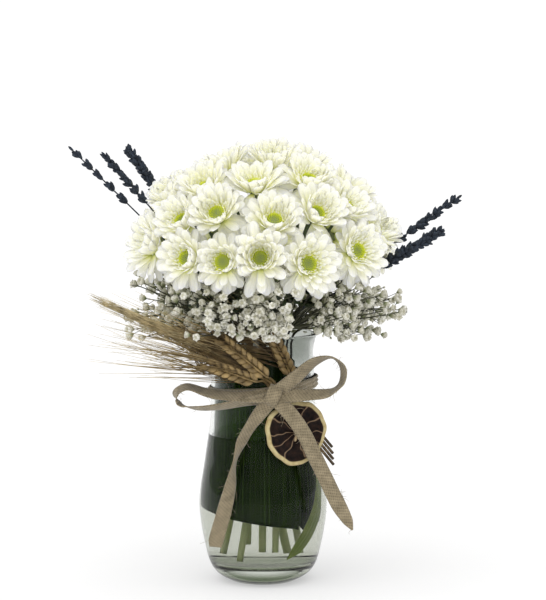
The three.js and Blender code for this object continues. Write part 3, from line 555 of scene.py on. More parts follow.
# %% [markdown]
# ## The broad leaf inside the glass
# Florists hide the stems behind a broad leaf rolled up against the glass. Rolled, it is a spiral:
# the radius shrinks a little as it turns, so its inner edge lies inside the outer one. Its veins
# run up the leaf, side by side, as on an aspidistra.

# %% Rolled leaf
LINER_RADIUS, LINER_OVERLAP, LINER_TURN, LINER_EDGE = 37.4, 3.4, 435.0, 45.0
LINER_THICKNESS = 0.9


def leaf_finish(name, light, dark, vein, roughness):
    """Green with lighter parallel veins that follow the leaf's own u. Under water a leaf hardly
    shines."""
    finish = Finish(name, roughness)
    base, _ = finish.mottled(45.0, light, dark, 1.2)
    wave = finish.add("ShaderNodeTexNoise", noise_dimensions="1D")
    wave.inputs["Scale"].default_value = 1.0
    wave.inputs["Detail"].default_value = 2.0
    finish.link(finish.math("MULTIPLY", finish.value("u"), 0.55), wave.inputs["W"])
    lines = finish.ramp(wave.outputs["Fac"], [(0.5, (0, 0, 0)), (0.72, (1, 1, 1))])
    finish.colour(finish.mix(lines, base, vein))
    finish.bump(wave.outputs["Fac"], 0.0004, 0.5)
    finish.set({"Specular IOR Level": 0.03})
    return finish


broad_green = leaf_finish("broad_leaf_green", (0.026, 0.062, 0.004), (0.010, 0.029, 0.002),
                          (0.050, 0.105, 0.012), 0.38)


def thick_sheet(surface, normal, thickness, values):
    """A closed body from a grid of points: the grid pushed out by half the thickness, and back
    by the same. Each row becomes a ring that runs across one face and back across the other."""
    out = surface + normal * thickness / 2
    back = surface - normal * thickness / 2
    rings = np.concatenate([out, back[:, ::-1]], axis=1)[None]
    tips = np.stack([rings[0, 0].mean(axis=0), rings[0, -1].mean(axis=0)])[None]
    both = {}
    for key, value in values.items():
        value = np.broadcast_to(value, surface.shape[:2])
        both[key] = np.concatenate([value, value[:, ::-1]], axis=1)[None]
    return bodies(rings, tips, both)


def hump(value, middle, spread):
    """A smooth rise to 1 at the middle: exp(-((value - middle) / spread) squared)."""
    return np.exp(-(((value - middle) / spread) ** 2))


rolled_share, up_share = np.meshgrid(np.linspace(0, 1, 220), np.linspace(0, 1, 40), indexing="ij")
low_edge = 50 + 24 * rolled_share**0.8 + 5 * np.sin(np.pi * rolled_share)
low_edge = low_edge - 27 * hump(rolled_share, 0.77, 0.09)
high_edge = 186 + 3 * np.sin(5 * rolled_share) + 20 * hump(rolled_share, 0.08, 0.10)
leaf_z = low_edge + (high_edge - low_edge) * up_share
leaf_azimuth = LINER_EDGE - LINER_TURN * rolled_share
ripple = 0.35 * np.sin(leaf_azimuth / 9.0) + 0.25 * np.sin(leaf_azimuth / 23.0 + leaf_z / 40)
ripple *= np.where(np.abs(rolled_share - 0.5) < 0.45, 1.0, 0.3)
belly = 3.4 * hump(leaf_z, 78, 34)
flare = 6.2 * hump(leaf_azimuth, -92, 38)  # where it presses against the glass
leaf_radius = LINER_RADIUS - LINER_OVERLAP * rolled_share + ripple + np.maximum(belly, flare)
leaf_radius = np.minimum(leaf_radius, bore_radius(leaf_z) - 0.9)
surface = polar(leaf_azimuth, leaf_radius, leaf_z)
arc = np.radians(LINER_TURN) * LINER_RADIUS * rolled_share
outwards = polar(leaf_azimuth, 1.0, 0.0)
rolled = thick_sheet(surface, outwards, LINER_THICKNESS, {"u": arc, "v": leaf_z})
piece("broad_leaf", [rolled], broad_green.material, ["liner_leaf"])

# %% [markdown]
# ## The blade leaf
# One narrow leaf has slipped down the inside of the glass, tip first. Its middle line and width
# are known at a few heights; between them both are smooth, and the blade folds a little along
# its midrib.

# %% Blade leaf
BLADE_WIDEST, BLADE_THICKNESS = 6.8, 0.8
# azimuth, distance from the middle, height, half width
BLADE = [[30, 37.5, 24, 0.05], [40, 42.5, 33, 4.6], [52, 47.4, 48, 6.6], [62, 49.8, 66, 6.8],
         [69, 48.4, 86, 5], [74, 44.6, 108, 2.6], [76, 42.9, 124, 1.8], [77, 42.5, 137, 0.3]]
blade_green = leaf_finish("blade_leaf_green", (0.450, 0.540, 0.150), (0.290, 0.400, 0.085),
                          (0.620, 0.700, 0.280), 0.42)
stations = smooth_path(BLADE, 60)
centre = polar(stations[:, 0], stations[:, 1], stations[:, 2])
facing = polar(stations[:, 0], 1.0, 0.0)
across = unit(np.stack([facing[:, 1], -facing[:, 0], np.full(len(facing), 0.75)], axis=-1))
side = np.linspace(-1, 1, 9)
fold = 0.5 * (np.abs(side) - 0.5)
half_width = stations[:, 3:4]
surface = (
    centre[:, None]
    + across[:, None] * (half_width * side)[..., None]
    - facing[:, None] * (fold * half_width / BLADE_WIDEST)[..., None]
)
blade = thick_sheet(surface, facing[:, None], BLADE_THICKNESS,
                    {"u": side * 14, "v": stations[:, 2:3]})
piece("blade_leaf_in_glass", [blade], blade_green.material, ["blade_leaf"])

# %% [markdown]
# ## Where the blooms sit
# A florist turns the stems as they are added, so the sheaf is narrowest at the neck, spreads and
# turns on the way down, and opens above. The blooms' hubs lie on a dome. Each bloom faces out of
# the dome, those between front and side turned a little more to the front. Its share of the room
# is a cone: flat walls halfway to each neighbour and beside each stem of lavender, all through
# one point at the neck.

# %% Sheaf and dome
SHEAF = uniform_path([(52, 20), (34, 84), (27, 150), (27, 200), (31, 224)], 400)
CROWN_BASE = np.array([0.0, 0.0, 215.0])
DOME_CENTRE = np.array([0.0, 0.0, 270.0])
DOME = np.array([104.0, 104.0, 94.0])
# of each spray: azimuth, share of the sheaf's radius, height of the cut end, and of each bloom
# its azimuth, elevation and size
SPRAYS = {
    "front": (-4, 0.5, 21, [(-18, 10, 0.85), (-1, 12, 1.15), (21, 9, 1.05), (6, 31, 1),
                            (-26, 35, 1)]),
    "front_right": (57, 0.52, 30, [(31, 35, 1.05), (56, 37, 1), (50, 14, 1.05), (44, 58, 1),
                                   (82, 23, 1.05)]),
    "back_right": (122, 0.5, 26, [(113, 15, 1.15), (144, 17, 1.15), (96, 46, 1.1),
                                  (136, 45, 1.15)]),
    "back": (184, 0.5, 24, [(174, 15, 1.15), (-156, 17, 1.15), (180, 46, 1.15)]),
    "back_left": (-122, 0.5, 33, [(-107, 18, 1.1), (-131, 15, 1.15), (-112, 46, 1.1),
                                  (-146, 44, 1.15)]),
    "front_left": (-60, 0.52, 25, [(-67, 16, 1.15), (-47, 30, 0.95), (-37, 11, 0.95),
                                   (-77, 43, 1.05), (-47, 51, 1)]),
    "top": (20, 0.04, 28, [(-6, 54, 1), (-74, 71, 1.05), (40, 82, 1.05), (118, 69, 1.1),
                           (-160, 70, 1.1)]),
}
# of each stem: azimuth, elevation, reach from the neck, share of the sheaf, length of the spike
LAVENDER = {
    "left_1": (-88, 44.5, 234, 0.76, 62),
    "left_2": (-83, 49, 211, 0.66, 50),
    "left_3": (-94, 54, 202, 0.62, 56),
    "right_1": (89, 35.5, 210, 0.76, 62),
    "right_2": (82, 31, 182, 0.66, 56),
}


def sheaf_point(azimuth, share, z):
    """A stem's place in the sheaf: its share of the sheaf's radius, turned 38 degrees between the
    neck and the cut ends."""
    radius = np.interp(z, SHEAF[:, 1], SHEAF[:, 0])
    twist = -38 * np.maximum(0, (200 - np.asarray(z, float)) / 180)
    return polar(azimuth + twist, radius * share, z)


blooms = []
for spray, (_, _, _, heads) in SPRAYS.items():
    for number, (azimuth, elevation, size) in enumerate(heads, 1):
        offset = direction(azimuth, elevation) * DOME
        a = math.radians(azimuth)
        side_on = abs(math.sin(a)) * max(0.0, math.cos(a))
        turned = unit(offset / DOME**2) + np.array([0.0, -0.9, 0.25]) * side_on
        blooms.append({
            "name": f"{spray}_{number}", "spray": spray, "size": size, "elevation": elevation,
            "hub": DOME_CENTRE + offset, "axis": unit(turned),
            "ray": unit(DOME_CENTRE + offset - CROWN_BASE),
        })
rays = np.array([bloom["ray"] for bloom in blooms])
lavender_lines = np.array([direction(a, e) for a, e, *_ in LAVENDER.values()])
for index, bloom in enumerate(blooms):
    near = (rays @ bloom["ray"] > 0.5) & (np.arange(len(blooms)) != index)
    to_lavender = bloom["ray"] - lavender_lines * (lavender_lines @ bloom["ray"])[:, None]
    bloom["walls"] = unit(np.vstack([bloom["ray"] - rays[near], to_lavender]))
    bloom["margins"] = np.concatenate([np.zeros(near.sum()), np.full(len(to_lavender), 2.5)])
    bloom["gives"] = np.concatenate([np.ones(near.sum()), np.full(len(to_lavender), 0.3)])
    bloom["sides"] = cross_axes(bloom["axis"])
print(len(blooms), "blooms on the dome")

# %% [markdown]
# ## White petals
# A bloom has several rows of strap-shaped petals, narrow at the root, widest past the middle and
# round at the tip, each with a shallow channel and a few fine lines along it. The outer row lies
# flat or droops. Each row further in stands up more, the inner rows are shorter too, and round
# the green disc stands a fringe of small narrow petals. Where neighbours crowd a petal it stands
# up, or stays short.
#
# One petal is a flattened ring carried along an arc. All petals of a row are worked out at once.


# %% Petal form
PETAL_STATIONS = {
    8: np.array([0.0, 0.16, 0.34, 0.54, 0.74, 0.89, 0.965, 1.0]),
    5: np.array([0.0, 0.35, 0.7, 0.92, 1.0]),
}
PETAL_WIDEST = 0.62  # share of its length at which a petal reaches its full width


def arc_places(length, rise, bend, s):
    """Slope, way out and way up at shares s of an arc whose slope rises evenly from a = `rise` by
    b = `bend`: out = L (sin(a + b s) - sin a) / b and up = L (cos a - cos(a + b s)) / b."""
    slope = rise + bend * s
    out = length * (np.sin(slope) - np.sin(rise)) / bend
    up = length * (np.cos(rise) - np.cos(slope)) / bend
    return slope, out, up


def petal_rings(length, width, thickness, rise, bend, cup, rows=8, around=6):
    """Rings of petals (petals, rows, around, 3) in their own axes: out, across and up. The half
    width is W / 2 (0.4 + 0.6 sin(pi s / 1.24)) up to s = 0.62, and rounds off to the tip."""
    s = PETAL_STATIONS[rows]
    length, width, rise, bend, cup = (
        np.asarray(v, float)[:, None] for v in (length, width, rise, bend, cup)
    )
    slope, out, up = arc_places(length, rise, np.where(np.abs(bend) < 1e-3, 1e-3, bend), s)
    tip = np.clip((s - PETAL_WIDEST) / (1 - PETAL_WIDEST), 0, 1)
    half = width / 2 * (0.40 + 0.60 * np.sin(np.pi / 2 * np.clip(s / PETAL_WIDEST, 0, 1)))
    half = half * np.sqrt(np.maximum(1 - tip**3.6, 0.05))
    a = 2 * np.pi * np.arange(around) / around
    x = half[..., None] * np.cos(a)
    body = thickness / 2 * (1 - 0.45 * s[None, :, None]) * np.sin(a)
    channel = cup[..., None] * (0.35 + 0.65 * s[None, :, None]) * half[..., None] * np.cos(a) ** 2
    lift = body + channel
    points = np.stack([
        out[..., None] - np.sin(slope)[..., None] * lift,
        x,
        up[..., None] + np.cos(slope)[..., None] * lift,
    ], axis=-1)
    tips = np.stack([points[:, 0].mean(axis=1), points[:, -1].mean(axis=1)], axis=1)
    tips[:, 1, 0] += 0.4 * np.cos(slope[:, -1])
    tips[:, 1, 2] += 0.4 * np.sin(slope[:, -1])
    values = {"along": s[None, :, None], "across": np.cos(a)[None, None, :]}
    return points, tips, values


def into_bloom(bloom, points, angle, rim, height):
    """From a petal's own axes to its place on the hub: out from the rim at its angle, up the
    bloom's axis."""
    u, v = bloom["sides"]
    out = u * np.cos(angle)[:, None] + v * np.sin(angle)[:, None]
    across = np.cross(bloom["axis"], out)
    shape = (len(angle),) + (1,) * (points.ndim - 2) + (3,)
    return (
        bloom["hub"]
        + out.reshape(shape) * (rim + points[..., :1])
        + across.reshape(shape) * points[..., 1:2]
        + bloom["axis"] * (height + points[..., 2:3])
    )


def fit_row(bloom, row, angle, rise, floor):
    """The first try that lies inside the bloom's walls: full length first and as flat as it may
    lie, then steeper, then shorter; the last try if none does. Returns each petal's rise in
    degrees and its length."""
    tilts = np.arange(0, 92, 4.0)
    lengths = row["length"] * 0.9 ** np.arange(9)
    count = len(angle)
    start = np.maximum(rise, floor)[:, None] + tilts[None]
    start = np.minimum(start, row["steepest"])
    lift = np.radians(start)[:, None, :] + np.zeros((1, len(lengths), 1))
    long = np.broadcast_to(lengths[None, :, None], lift.shape)
    s = np.array([0.6, 0.6, 1.0, 0.97, 0.97])  # tested at both edges, the tip, and beside the tip
    sign = np.array([-1, 1, 0, -0.5, 0.5])
    bend = np.radians(row["bend"]) + 1e-3
    _, out, up = arc_places(long.reshape(-1, 1), lift.reshape(-1, 1), bend, s)
    side = np.broadcast_to(sign * row["width"] * 0.42, out.shape)
    points = np.stack([out, side, up], axis=-1).reshape(count, -1, 5, 3)
    placed = into_bloom(bloom, points, angle, row["rim"], row["height"])
    least = bloom["margins"] - row["give"] * bloom["gives"]
    inside = ((placed - CROWN_BASE) @ bloom["walls"].T >= least).all(axis=(2, 3))
    first = np.where(inside.any(axis=1), inside.argmax(axis=1), inside.shape[1] - 1)
    which = np.arange(count)
    tilt = np.degrees(lift.reshape(count, -1)[which, first])
    return tilt, long.reshape(count, -1)[which, first]


# %% Petal rows
# of each row: how many petals; their length and width; where they start, out from the bloom's
# axis and up it; their rise, its spread and their bend, in degrees; the depth of the channel; the
# steepest rise; and how far a petal may reach past a wall
ROWS = [
    dict(count=10, length=21.0, width=9.6, rim=7.6, height=-0.8, rise=-16, spread=13, bend=-18,
         cup=0.26, steepest=60, give=3.0),
    dict(count=12, length=22.5, width=10.2, rim=8.0, height=0.4, rise=2, spread=11, bend=-4,
         cup=0.32, steepest=70, give=5.5),
    dict(count=12, length=21.5, width=9.8, rim=8.2, height=1.2, rise=14, spread=11, bend=14,
         cup=0.38, steepest=74, give=4.5),
    dict(count=11, length=18.5, width=8.8, rim=8.4, height=2.0, rise=25, spread=11, bend=20,
         cup=0.42, steepest=76, give=3.0),
    dict(count=11, length=13.5, width=7.0, rim=8.6, height=2.6, rise=34, spread=12, bend=20,
         cup=0.46, steepest=78, give=2.0),
    dict(count=18, length=8.4, width=3.4, rim=8.8, height=3.2, rise=40, spread=18, bend=20,
         cup=0.50, steepest=80, give=1.0),
    dict(count=22, length=5.6, width=2.4, rim=8.2, height=3.9, rise=54, spread=22, bend=14,
         cup=0.50, steepest=90, give=1.0),
    dict(count=17, length=3.8, width=2.0, rim=6.9, height=4.5, rise=66, spread=24, bend=10,
         cup=0.50, steepest=98, give=1.0),
]
PETAL_THICKNESS, FRINGE_THICKNESS, FRINGE_BELOW = 0.6, 1.1, 9  # the fringe is the short petals


def bloom_petals(bloom, random):
    """All rows of one bloom, from the outer one in. A petal stands at least 5 degrees steeper than
    those of the row below that lie at about its own angle, as far as `steepest` lets it."""
    parts, below = [], None
    # painted glow: the higher a bloom sits on the dome, the more yellow glow its inner petals get,
    # as if lit through from above
    painted_glow_share = np.clip((bloom["elevation"] - 12) / 45, 0, 1) * random.uniform(0.5, 1.0)
    for order, row in enumerate(ROWS):
        count = row["count"]
        row = dict(row, length=row["length"] * bloom["size"],
                   width=row["width"] * bloom["size"]**0.5)
        angle = 2 * np.pi * (np.arange(count) + order * 0.5) / count
        angle = angle + random.uniform(-0.11, 0.11, count)
        floor = np.full(count, -90.0)
        if below is not None:
            apart = np.cos(angle[:, None] - below[0][None])
            floor = np.maximum(floor, np.where(apart > 0.9, below[1][None] + 5, -90).max(axis=1))
        rise = row["rise"] + random.uniform(-row["spread"], row["spread"], count)
        tilt, length = fit_row(bloom, row, angle, rise, floor)
        below = (angle, tilt)
        crowd = row["rim"] + 0.6 * length * np.cos(np.radians(np.minimum(tilt, 84)))
        width = np.minimum(row["width"], 2 * np.pi * crowd / count * 1.3)
        length = length * random.uniform(0.9, 1.0, count)
        width = width * random.uniform(0.88, 1.0, count)
        bend = np.radians(row["bend"]) + random.uniform(-0.10, 0.10, count)
        small = row["length"] < FRINGE_BELOW
        thickness, rows, around = (FRINGE_THICKNESS, 5, 5) if small else (PETAL_THICKNESS, 8, 6)
        points, tips, values = petal_rings(
            length, width, thickness, np.radians(tilt), bend,
            row["cup"] * random.uniform(0.6, 1.2, count), rows, around)
        roll = random.uniform(-0.16, 0.16, count)[:, None, None]
        for block, turn in ((points, roll), (tips, roll[..., 0])):
            block[..., 2] += block[..., 1] * turn
        stagger = np.where(np.arange(count) % 2, 0.35, -0.15)
        height = (row["height"] + stagger)[:, None, None, None]
        ring = into_bloom(bloom, points, angle, row["rim"], height)
        ends = into_bloom(bloom, tips, angle, row["rim"], height[..., 0])
        shape = (count, 1, 1)
        values = dict(
            values,
            row=np.full(shape, order / (len(ROWS) - 1)),
            tint=random.uniform(0, 1, shape),
            warm=np.full(shape, painted_glow_share),
        )
        parts.append(bodies(ring, ends, values))
    return parts


# %% [markdown]
# Petals are white with a warm, faintly green root that fades out over the first third, in the
# inner rows over the first half. On blooms high on the dome the inner rows are mixed towards a
# yellower colour, a painted glow that stands for light from above shining through the petals.
# The fine lines follow each petal's own width, which the mesh carries as `across`. Thin petals
# let light through, so most of it scatters inside. In a real bloom the light then goes from petal
# to petal dozens of times, far more often than a render follows it; a faint glow in the petal's
# own colour stands for that rest.

# %% Petal finish
petal_white = Finish("petal_white", 0.45)
along, row_value = petal_white.value("along"), petal_white.value("row")
outer = petal_white.ramp(along, [(0.0, (0.66, 0.74, 0.16)), (0.12, (0.90, 0.91, 0.42)),
                                 (0.34, (0.98, 0.97, 0.78)), (1.0, (0.985, 0.975, 0.885))])
inner = petal_white.ramp(along, [(0.0, (0.70, 0.79, 0.10)), (0.22, (0.93, 0.94, 0.33)),
                                 (0.55, (0.98, 0.97, 0.68)), (1.0, (0.985, 0.98, 0.88))])
glow = petal_white.ramp(along, [(0.0, (0.90, 0.90, 0.20)), (0.5, (0.96, 0.95, 0.45)),
                                (1.0, (0.97, 0.96, 0.78))])
white = petal_white.mix(row_value, outer, inner)
# painted glow, mixed into the inner rows of the higher blooms
painted_glow_mask = petal_white.math("MULTIPLY", petal_white.value("warm"), row_value)
white = petal_white.mix(painted_glow_mask, white, glow)
shade = petal_white.ramp(petal_white.value("tint"),
                         [(0.0, (0.965, 0.965, 0.955)), (1.0, (1, 1, 1))])
white = petal_white.mix(1.0, white, shade, "MULTIPLY")
across = petal_white.value("across")
lines = petal_white.math("SINE", petal_white.math("MULTIPLY", across, 15.0))
faint = petal_white.ramp(lines, [(0.0, (0.965, 0.965, 0.955)), (0.6, (1, 1, 1))])
white = petal_white.mix(1.0, white, faint, "MULTIPLY")
rim_light = petal_white.ramp(petal_white.math("ABSOLUTE", across), [
    (0.0, (0.97, 0.97, 0.965)), (0.75, (0.98, 0.98, 0.975)), (1.0, (1, 1, 1))])
petal_colour = petal_white.mix(1.0, white, rim_light, "MULTIPLY")
petal_white.colour(petal_colour)
petal_white.glow(petal_colour, 0.10)
petal_white.bump(lines, 0.00015, 0.5)
petal_white.set({"Subsurface Weight": 0.85, "Subsurface Radius": (1.0, 0.95, 0.6),
                 "Subsurface Scale": 0.005})

# %% Petals of every bloom
petal_random = np.random.default_rng(23)
for bloom in blooms:
    piece(f"petals_{bloom['name']}", bloom_petals(bloom, petal_random), petal_white.material,
          [f"bloom_{bloom['name']}"])

# %% [markdown]
# ## Green discs
# The disc is a low dome of tiny closed buds, deep green in the middle and lime towards the rim.
# Buds packed by the golden angle lie like seeds in a sunflower: bud n sits at n times 137.5
# degrees, at a distance that grows as the square root of n.

# %% Discs
DISC_RADIUS, DISC_BUDS = 8.6, 110
GOLDEN = np.radians(137.508)
disc_green = Finish("disc_green", 0.55)
share = disc_green.value("share")
centre_out = disc_green.ramp(share, [(0.0, (0.32, 0.39, 0.008)), (0.4, (0.44, 0.52, 0.014)),
                                     (0.7, (0.64, 0.70, 0.04)), (0.9, (0.86, 0.88, 0.20)),
                                     (1.0, (0.92, 0.91, 0.45))])
# partly painted shade: each bud is darker towards its base, where shade falls between its
# neighbours; its tip is paler
pale_tips_shaded_bases = disc_green.ramp(disc_green.value("along"),
                            [(0.0, (0.5, 0.5, 0.4)), (1.0, (1.2, 1.2, 1.1))])
disc_green.colour(disc_green.mix(1.0, centre_out, pale_tips_shaded_bases, "MULTIPLY"))
_, speckle = disc_green.mottled(900.0, (1, 1, 1), (0, 0, 0))
disc_green.bump(speckle, 0.0002, 0.4)


# %% Disc buds
def disc_buds(bloom, random):
    """A dome of buds. Each is a small barrel: 0.6, 1 and 0.7 of its girth, then a point."""
    share = np.sqrt((np.arange(DISC_BUDS) + 0.5) / DISC_BUDS)
    angle = np.arange(DISC_BUDS) * GOLDEN + random.uniform(0, 6)
    u, v = bloom["sides"]
    out = u * np.cos(angle)[:, None] + v * np.sin(angle)[:, None]
    lean = unit(bloom["axis"] + out * (share * 0.75)[:, None])
    seat = (
        bloom["hub"] + bloom["axis"] * (4.0 + 1.7 * (1 - share**2))[:, None]
        + out * (share * (DISC_RADIUS - 0.5))[:, None]
    )
    tall = random.uniform(1.0, 1.5, DISC_BUDS) * (0.75 + 0.55 * share)
    girth = 0.62 * (0.75 + 0.45 * share)
    level = np.array([-0.6, 0.3, 0.85])
    swell = np.array([0.6, 1.0, 0.7])
    centre = seat[:, None] + lean[:, None] * (tall[:, None] * level)[..., None]
    rings = circles(centre, lean, girth[:, None] * swell, 5)
    tips = np.stack([seat - lean * tall[:, None], seat + lean * (tall * 1.1)[:, None]], axis=1)
    values = {"share": share[:, None, None], "along": (level + 0.6)[None, :, None]}
    return bodies(rings, tips, values)


def turned_about(origin, axis, sides, profile, turns=20, values=None):
    """A profile of (radius, height) turned round an axis, poles first and last."""
    profile = np.asarray(profile, float)
    u, v = sides
    k = 2 * np.pi * np.arange(turns) / turns
    circle = u * np.cos(k)[:, None] + v * np.sin(k)[:, None]
    body = profile[1:-1]
    rings = origin + circle[None] * body[:, None, :1] + axis * body[:, None, 1:2]
    tips = origin + axis * profile[[0, -1], 1][:, None]
    return bodies(rings[None], tips[None], values)


# %% [markdown]
# ## Stems, cups and lobed leaves
# Each spray is one stem that forks below the blooms. Every branch ends in a small green cup of
# scales that holds the petals from below. A chrysanthemum's leaf is lobed: its half width swells
# and shrinks three times on the way to the tip, its sides lift from the middle, and a paler rib
# runs down it.

# %% Greens finish
stem_green = Finish("stem_green", 0.5)
stem_colour, _ = stem_green.mottled(60.0, (0.86, 0.90, 0.52), (0.62, 0.72, 0.34), 1.0)
# painted shade: stems, branches and cups are darkened by `deep`, nearly to black, where they run
# into the shade of the crown
painted_crown_shade = stem_green.ramp(stem_green.value("deep"), [(0.0, (1, 1, 1)), (1.0, (0.07, 0.10, 0.06))])
stem_green.colour(stem_green.mix(1.0, stem_colour, painted_crown_shade, "MULTIPLY"))
stem_green.bump(stem_green.fibres(700.0, 40.0), 0.0002, 0.5)

foliage_green = Finish("foliage_green", 0.55)
foliage, _ = foliage_green.mottled(80.0, (0.030, 0.062, 0.018), (0.008, 0.020, 0.006), 1.1)
rib = foliage_green.ramp(
    foliage_green.math("ABSOLUTE", foliage_green.value("across")),
    [(0.0, (0.06, 0.10, 0.03)), (0.09, (0.03, 0.05, 0.015)), (0.16, (0, 0, 0))],
)
foliage_green.colour(foliage_green.mix(1.0, foliage, rib, "ADD"))
foliage_green.bump(foliage_green.fibres(300.0, 300.0), 0.0004, 0.5)

# radius and height of the cup, from the branch up to the hub
SCALE_CUP = [(0, -9.0), (1.3, -9.0), (1.5, -6.5), (3.2, -4.2), (5.6, -2.4), (7.0, -0.6), (6.4, 0.6),
             (5.4, 2.0), (5.6, 3.4), (6.6, 3.5), (6.2, 4.6), (4.0, 5.6), (0, 6.1)]


# turn from the spray's azimuth, and climb, of each leaf of a spray
LEAF_HEADINGS = [(-24, 4), (-12, 16), (2, 6), (14, 18), (25, 5), (-20, 34), (6, 38), (22, 32),
                 (-4, 56)]
LEAF_LENGTH, LEAF_BREADTH, LEAF_THICKNESS = 42, 11.5, 0.7


def lobed_leaf(root, heading, size, droop, random):
    """Past a bare stalk the half width is B sin(pi s)^0.7 (1 - 0.42 |sin(3.1 pi s)|^1.5). The
    middle line drops by droop L s squared, and the sides lift from it in shallow waves."""
    rows, columns = 26, 9
    s = np.linspace(0.0, 1.0, rows)
    side = unit(np.cross(heading, [0, 0, 1.0]))
    face = np.cross(side, heading)
    length, breadth = LEAF_LENGTH * size, LEAF_BREADTH * size
    stalk = np.clip((s - 0.16) / 0.84, 0, 1)
    half = breadth * np.sin(np.pi * stalk) ** 0.7
    half = half * (1 - 0.42 * np.abs(np.sin(3.1 * np.pi * stalk)) ** 1.5) + 0.7
    across = np.linspace(-1, 1, columns)
    wave = random.uniform(0.5, 1.4)
    waves = wave * np.sin(9 * s[:, None] + 4 * across) * np.abs(across) ** 2
    lift = 0.28 * np.abs(across) * half[:, None] + waves
    middle = root + heading * (length * s)[:, None] - face * (droop * length * s**2)[:, None]
    surface = (
        middle[:, None] + side * (across * half[:, None])[..., None] + face * lift[..., None]
    )
    return thick_sheet(surface, face, LEAF_THICKNESS, {"across": across, "along": s[:, None]})


# %% Sprays
green_random = np.random.default_rng(11)
stem_parts = {spray: [] for spray in SPRAYS}
leaf_parts = {spray: [] for spray in SPRAYS}
for spray, (azimuth, share_of_sheaf, bottom, _) in SPRAYS.items():
    own = [bloom for bloom in blooms if bloom["spray"] == spray]
    mean = unit(sum(bloom["ray"] for bloom in own))
    fork = CROWN_BASE + 40 * mean
    heights = [bottom, bottom + (196 - bottom) * 0.45, 196, 222]
    path = smooth_path([*(sheaf_point(azimuth, share_of_sheaf, z) for z in heights), fork], 70)
    # painted shade share: none below 150 mm, full from 210 mm up
    dark = np.clip((path[:, 2] - 150) / 60, 0, 1)[None, :, None]
    stem_parts[spray].append(
        tubes(path[None], 2.4 + 0.12 * np.sin(np.arange(70) / 3.0), 12, {"deep": dark}))
    one = np.ones((1, 1, 1))
    for bloom in own:
        hub, axis = bloom["hub"], bloom["axis"]
        branch = smooth_path([fork - 2 * mean, fork * 0.45 + (hub - 30 * axis) * 0.55,
                              hub - 9 * axis, hub - 7 * axis], 16)
        stem_parts[spray].append(tubes(branch[None], 1.35, 8, {"deep": one}))
        cup = turned_about(hub, axis, bloom["sides"], SCALE_CUP, values={"deep": one * 0.8})
        stem_parts[spray].append(cup)
    if spray != "top":
        for turn, climb_angle in LEAF_HEADINGS:
            heading = direction(azimuth + turn + green_random.uniform(-3, 3),
                                climb_angle + green_random.uniform(-4, 4))
            size, droop = green_random.uniform(1.0, 1.25), green_random.uniform(0.05, 0.3)
            leaf_parts[spray].append(
                lobed_leaf(fork - 1.5 * heading, heading, size, droop, green_random))
for spray in SPRAYS:
    piece(f"stems_{spray}", stem_parts[spray], stem_green.material,
          [f"mum_spray_{spray}"])
    discs = [disc_buds(bloom, green_random) for bloom in blooms if bloom["spray"] == spray]
    piece(f"discs_{spray}", discs, disc_green.material, [f"mum_spray_{spray}"])
    if leaf_parts[spray]:
        piece(f"leaves_{spray}", leaf_parts[spray], foliage_green.material,
              [f"mum_spray_{spray}"])

# %% [markdown]
# ## Dried lavender
# Five dry stems of lavender lean out of the crown. A spike is a row of whorls, on some spikes
# with bare stem between them and on others close together, and a whorl is a ring of small dry
# buds that point up and out. Dried, they are almost navy, and dusty.

# %% Lavender finish and buds
lavender_navy = Finish("dried_lavender", 0.85)
dusty, _ = lavender_navy.mottled(350.0, (0.032, 0.046, 0.070), (0.008, 0.012, 0.020), 1.3)
lavender_navy.colour(dusty)
lavender_navy.bump(lavender_navy.fibres(1500.0, 900.0), 0.0003, 0.7)


def buds(seats, headings, lengths, girths, sides=6, values=None):
    """Closed buds: at shares 0, 0.25, 0.6 and 0.85 of its length a bud is 0.55, 0.95, 1 and 0.6 of
    its girth, and it ends in a point."""
    share, swell = np.array([0.0, 0.25, 0.6, 0.85]), np.array([0.55, 0.95, 1.0, 0.6])
    centre = seats[:, None] + headings[:, None] * (lengths[:, None] * share)[..., None]
    rings = circles(centre, headings, girths[:, None] * swell, sides)
    ends = np.stack([seats - headings * 0.2 * girths[:, None],
                     seats + headings * lengths[:, None]], 1)
    return bodies(rings, ends, {"along": share[None, :, None], **(values or {})})


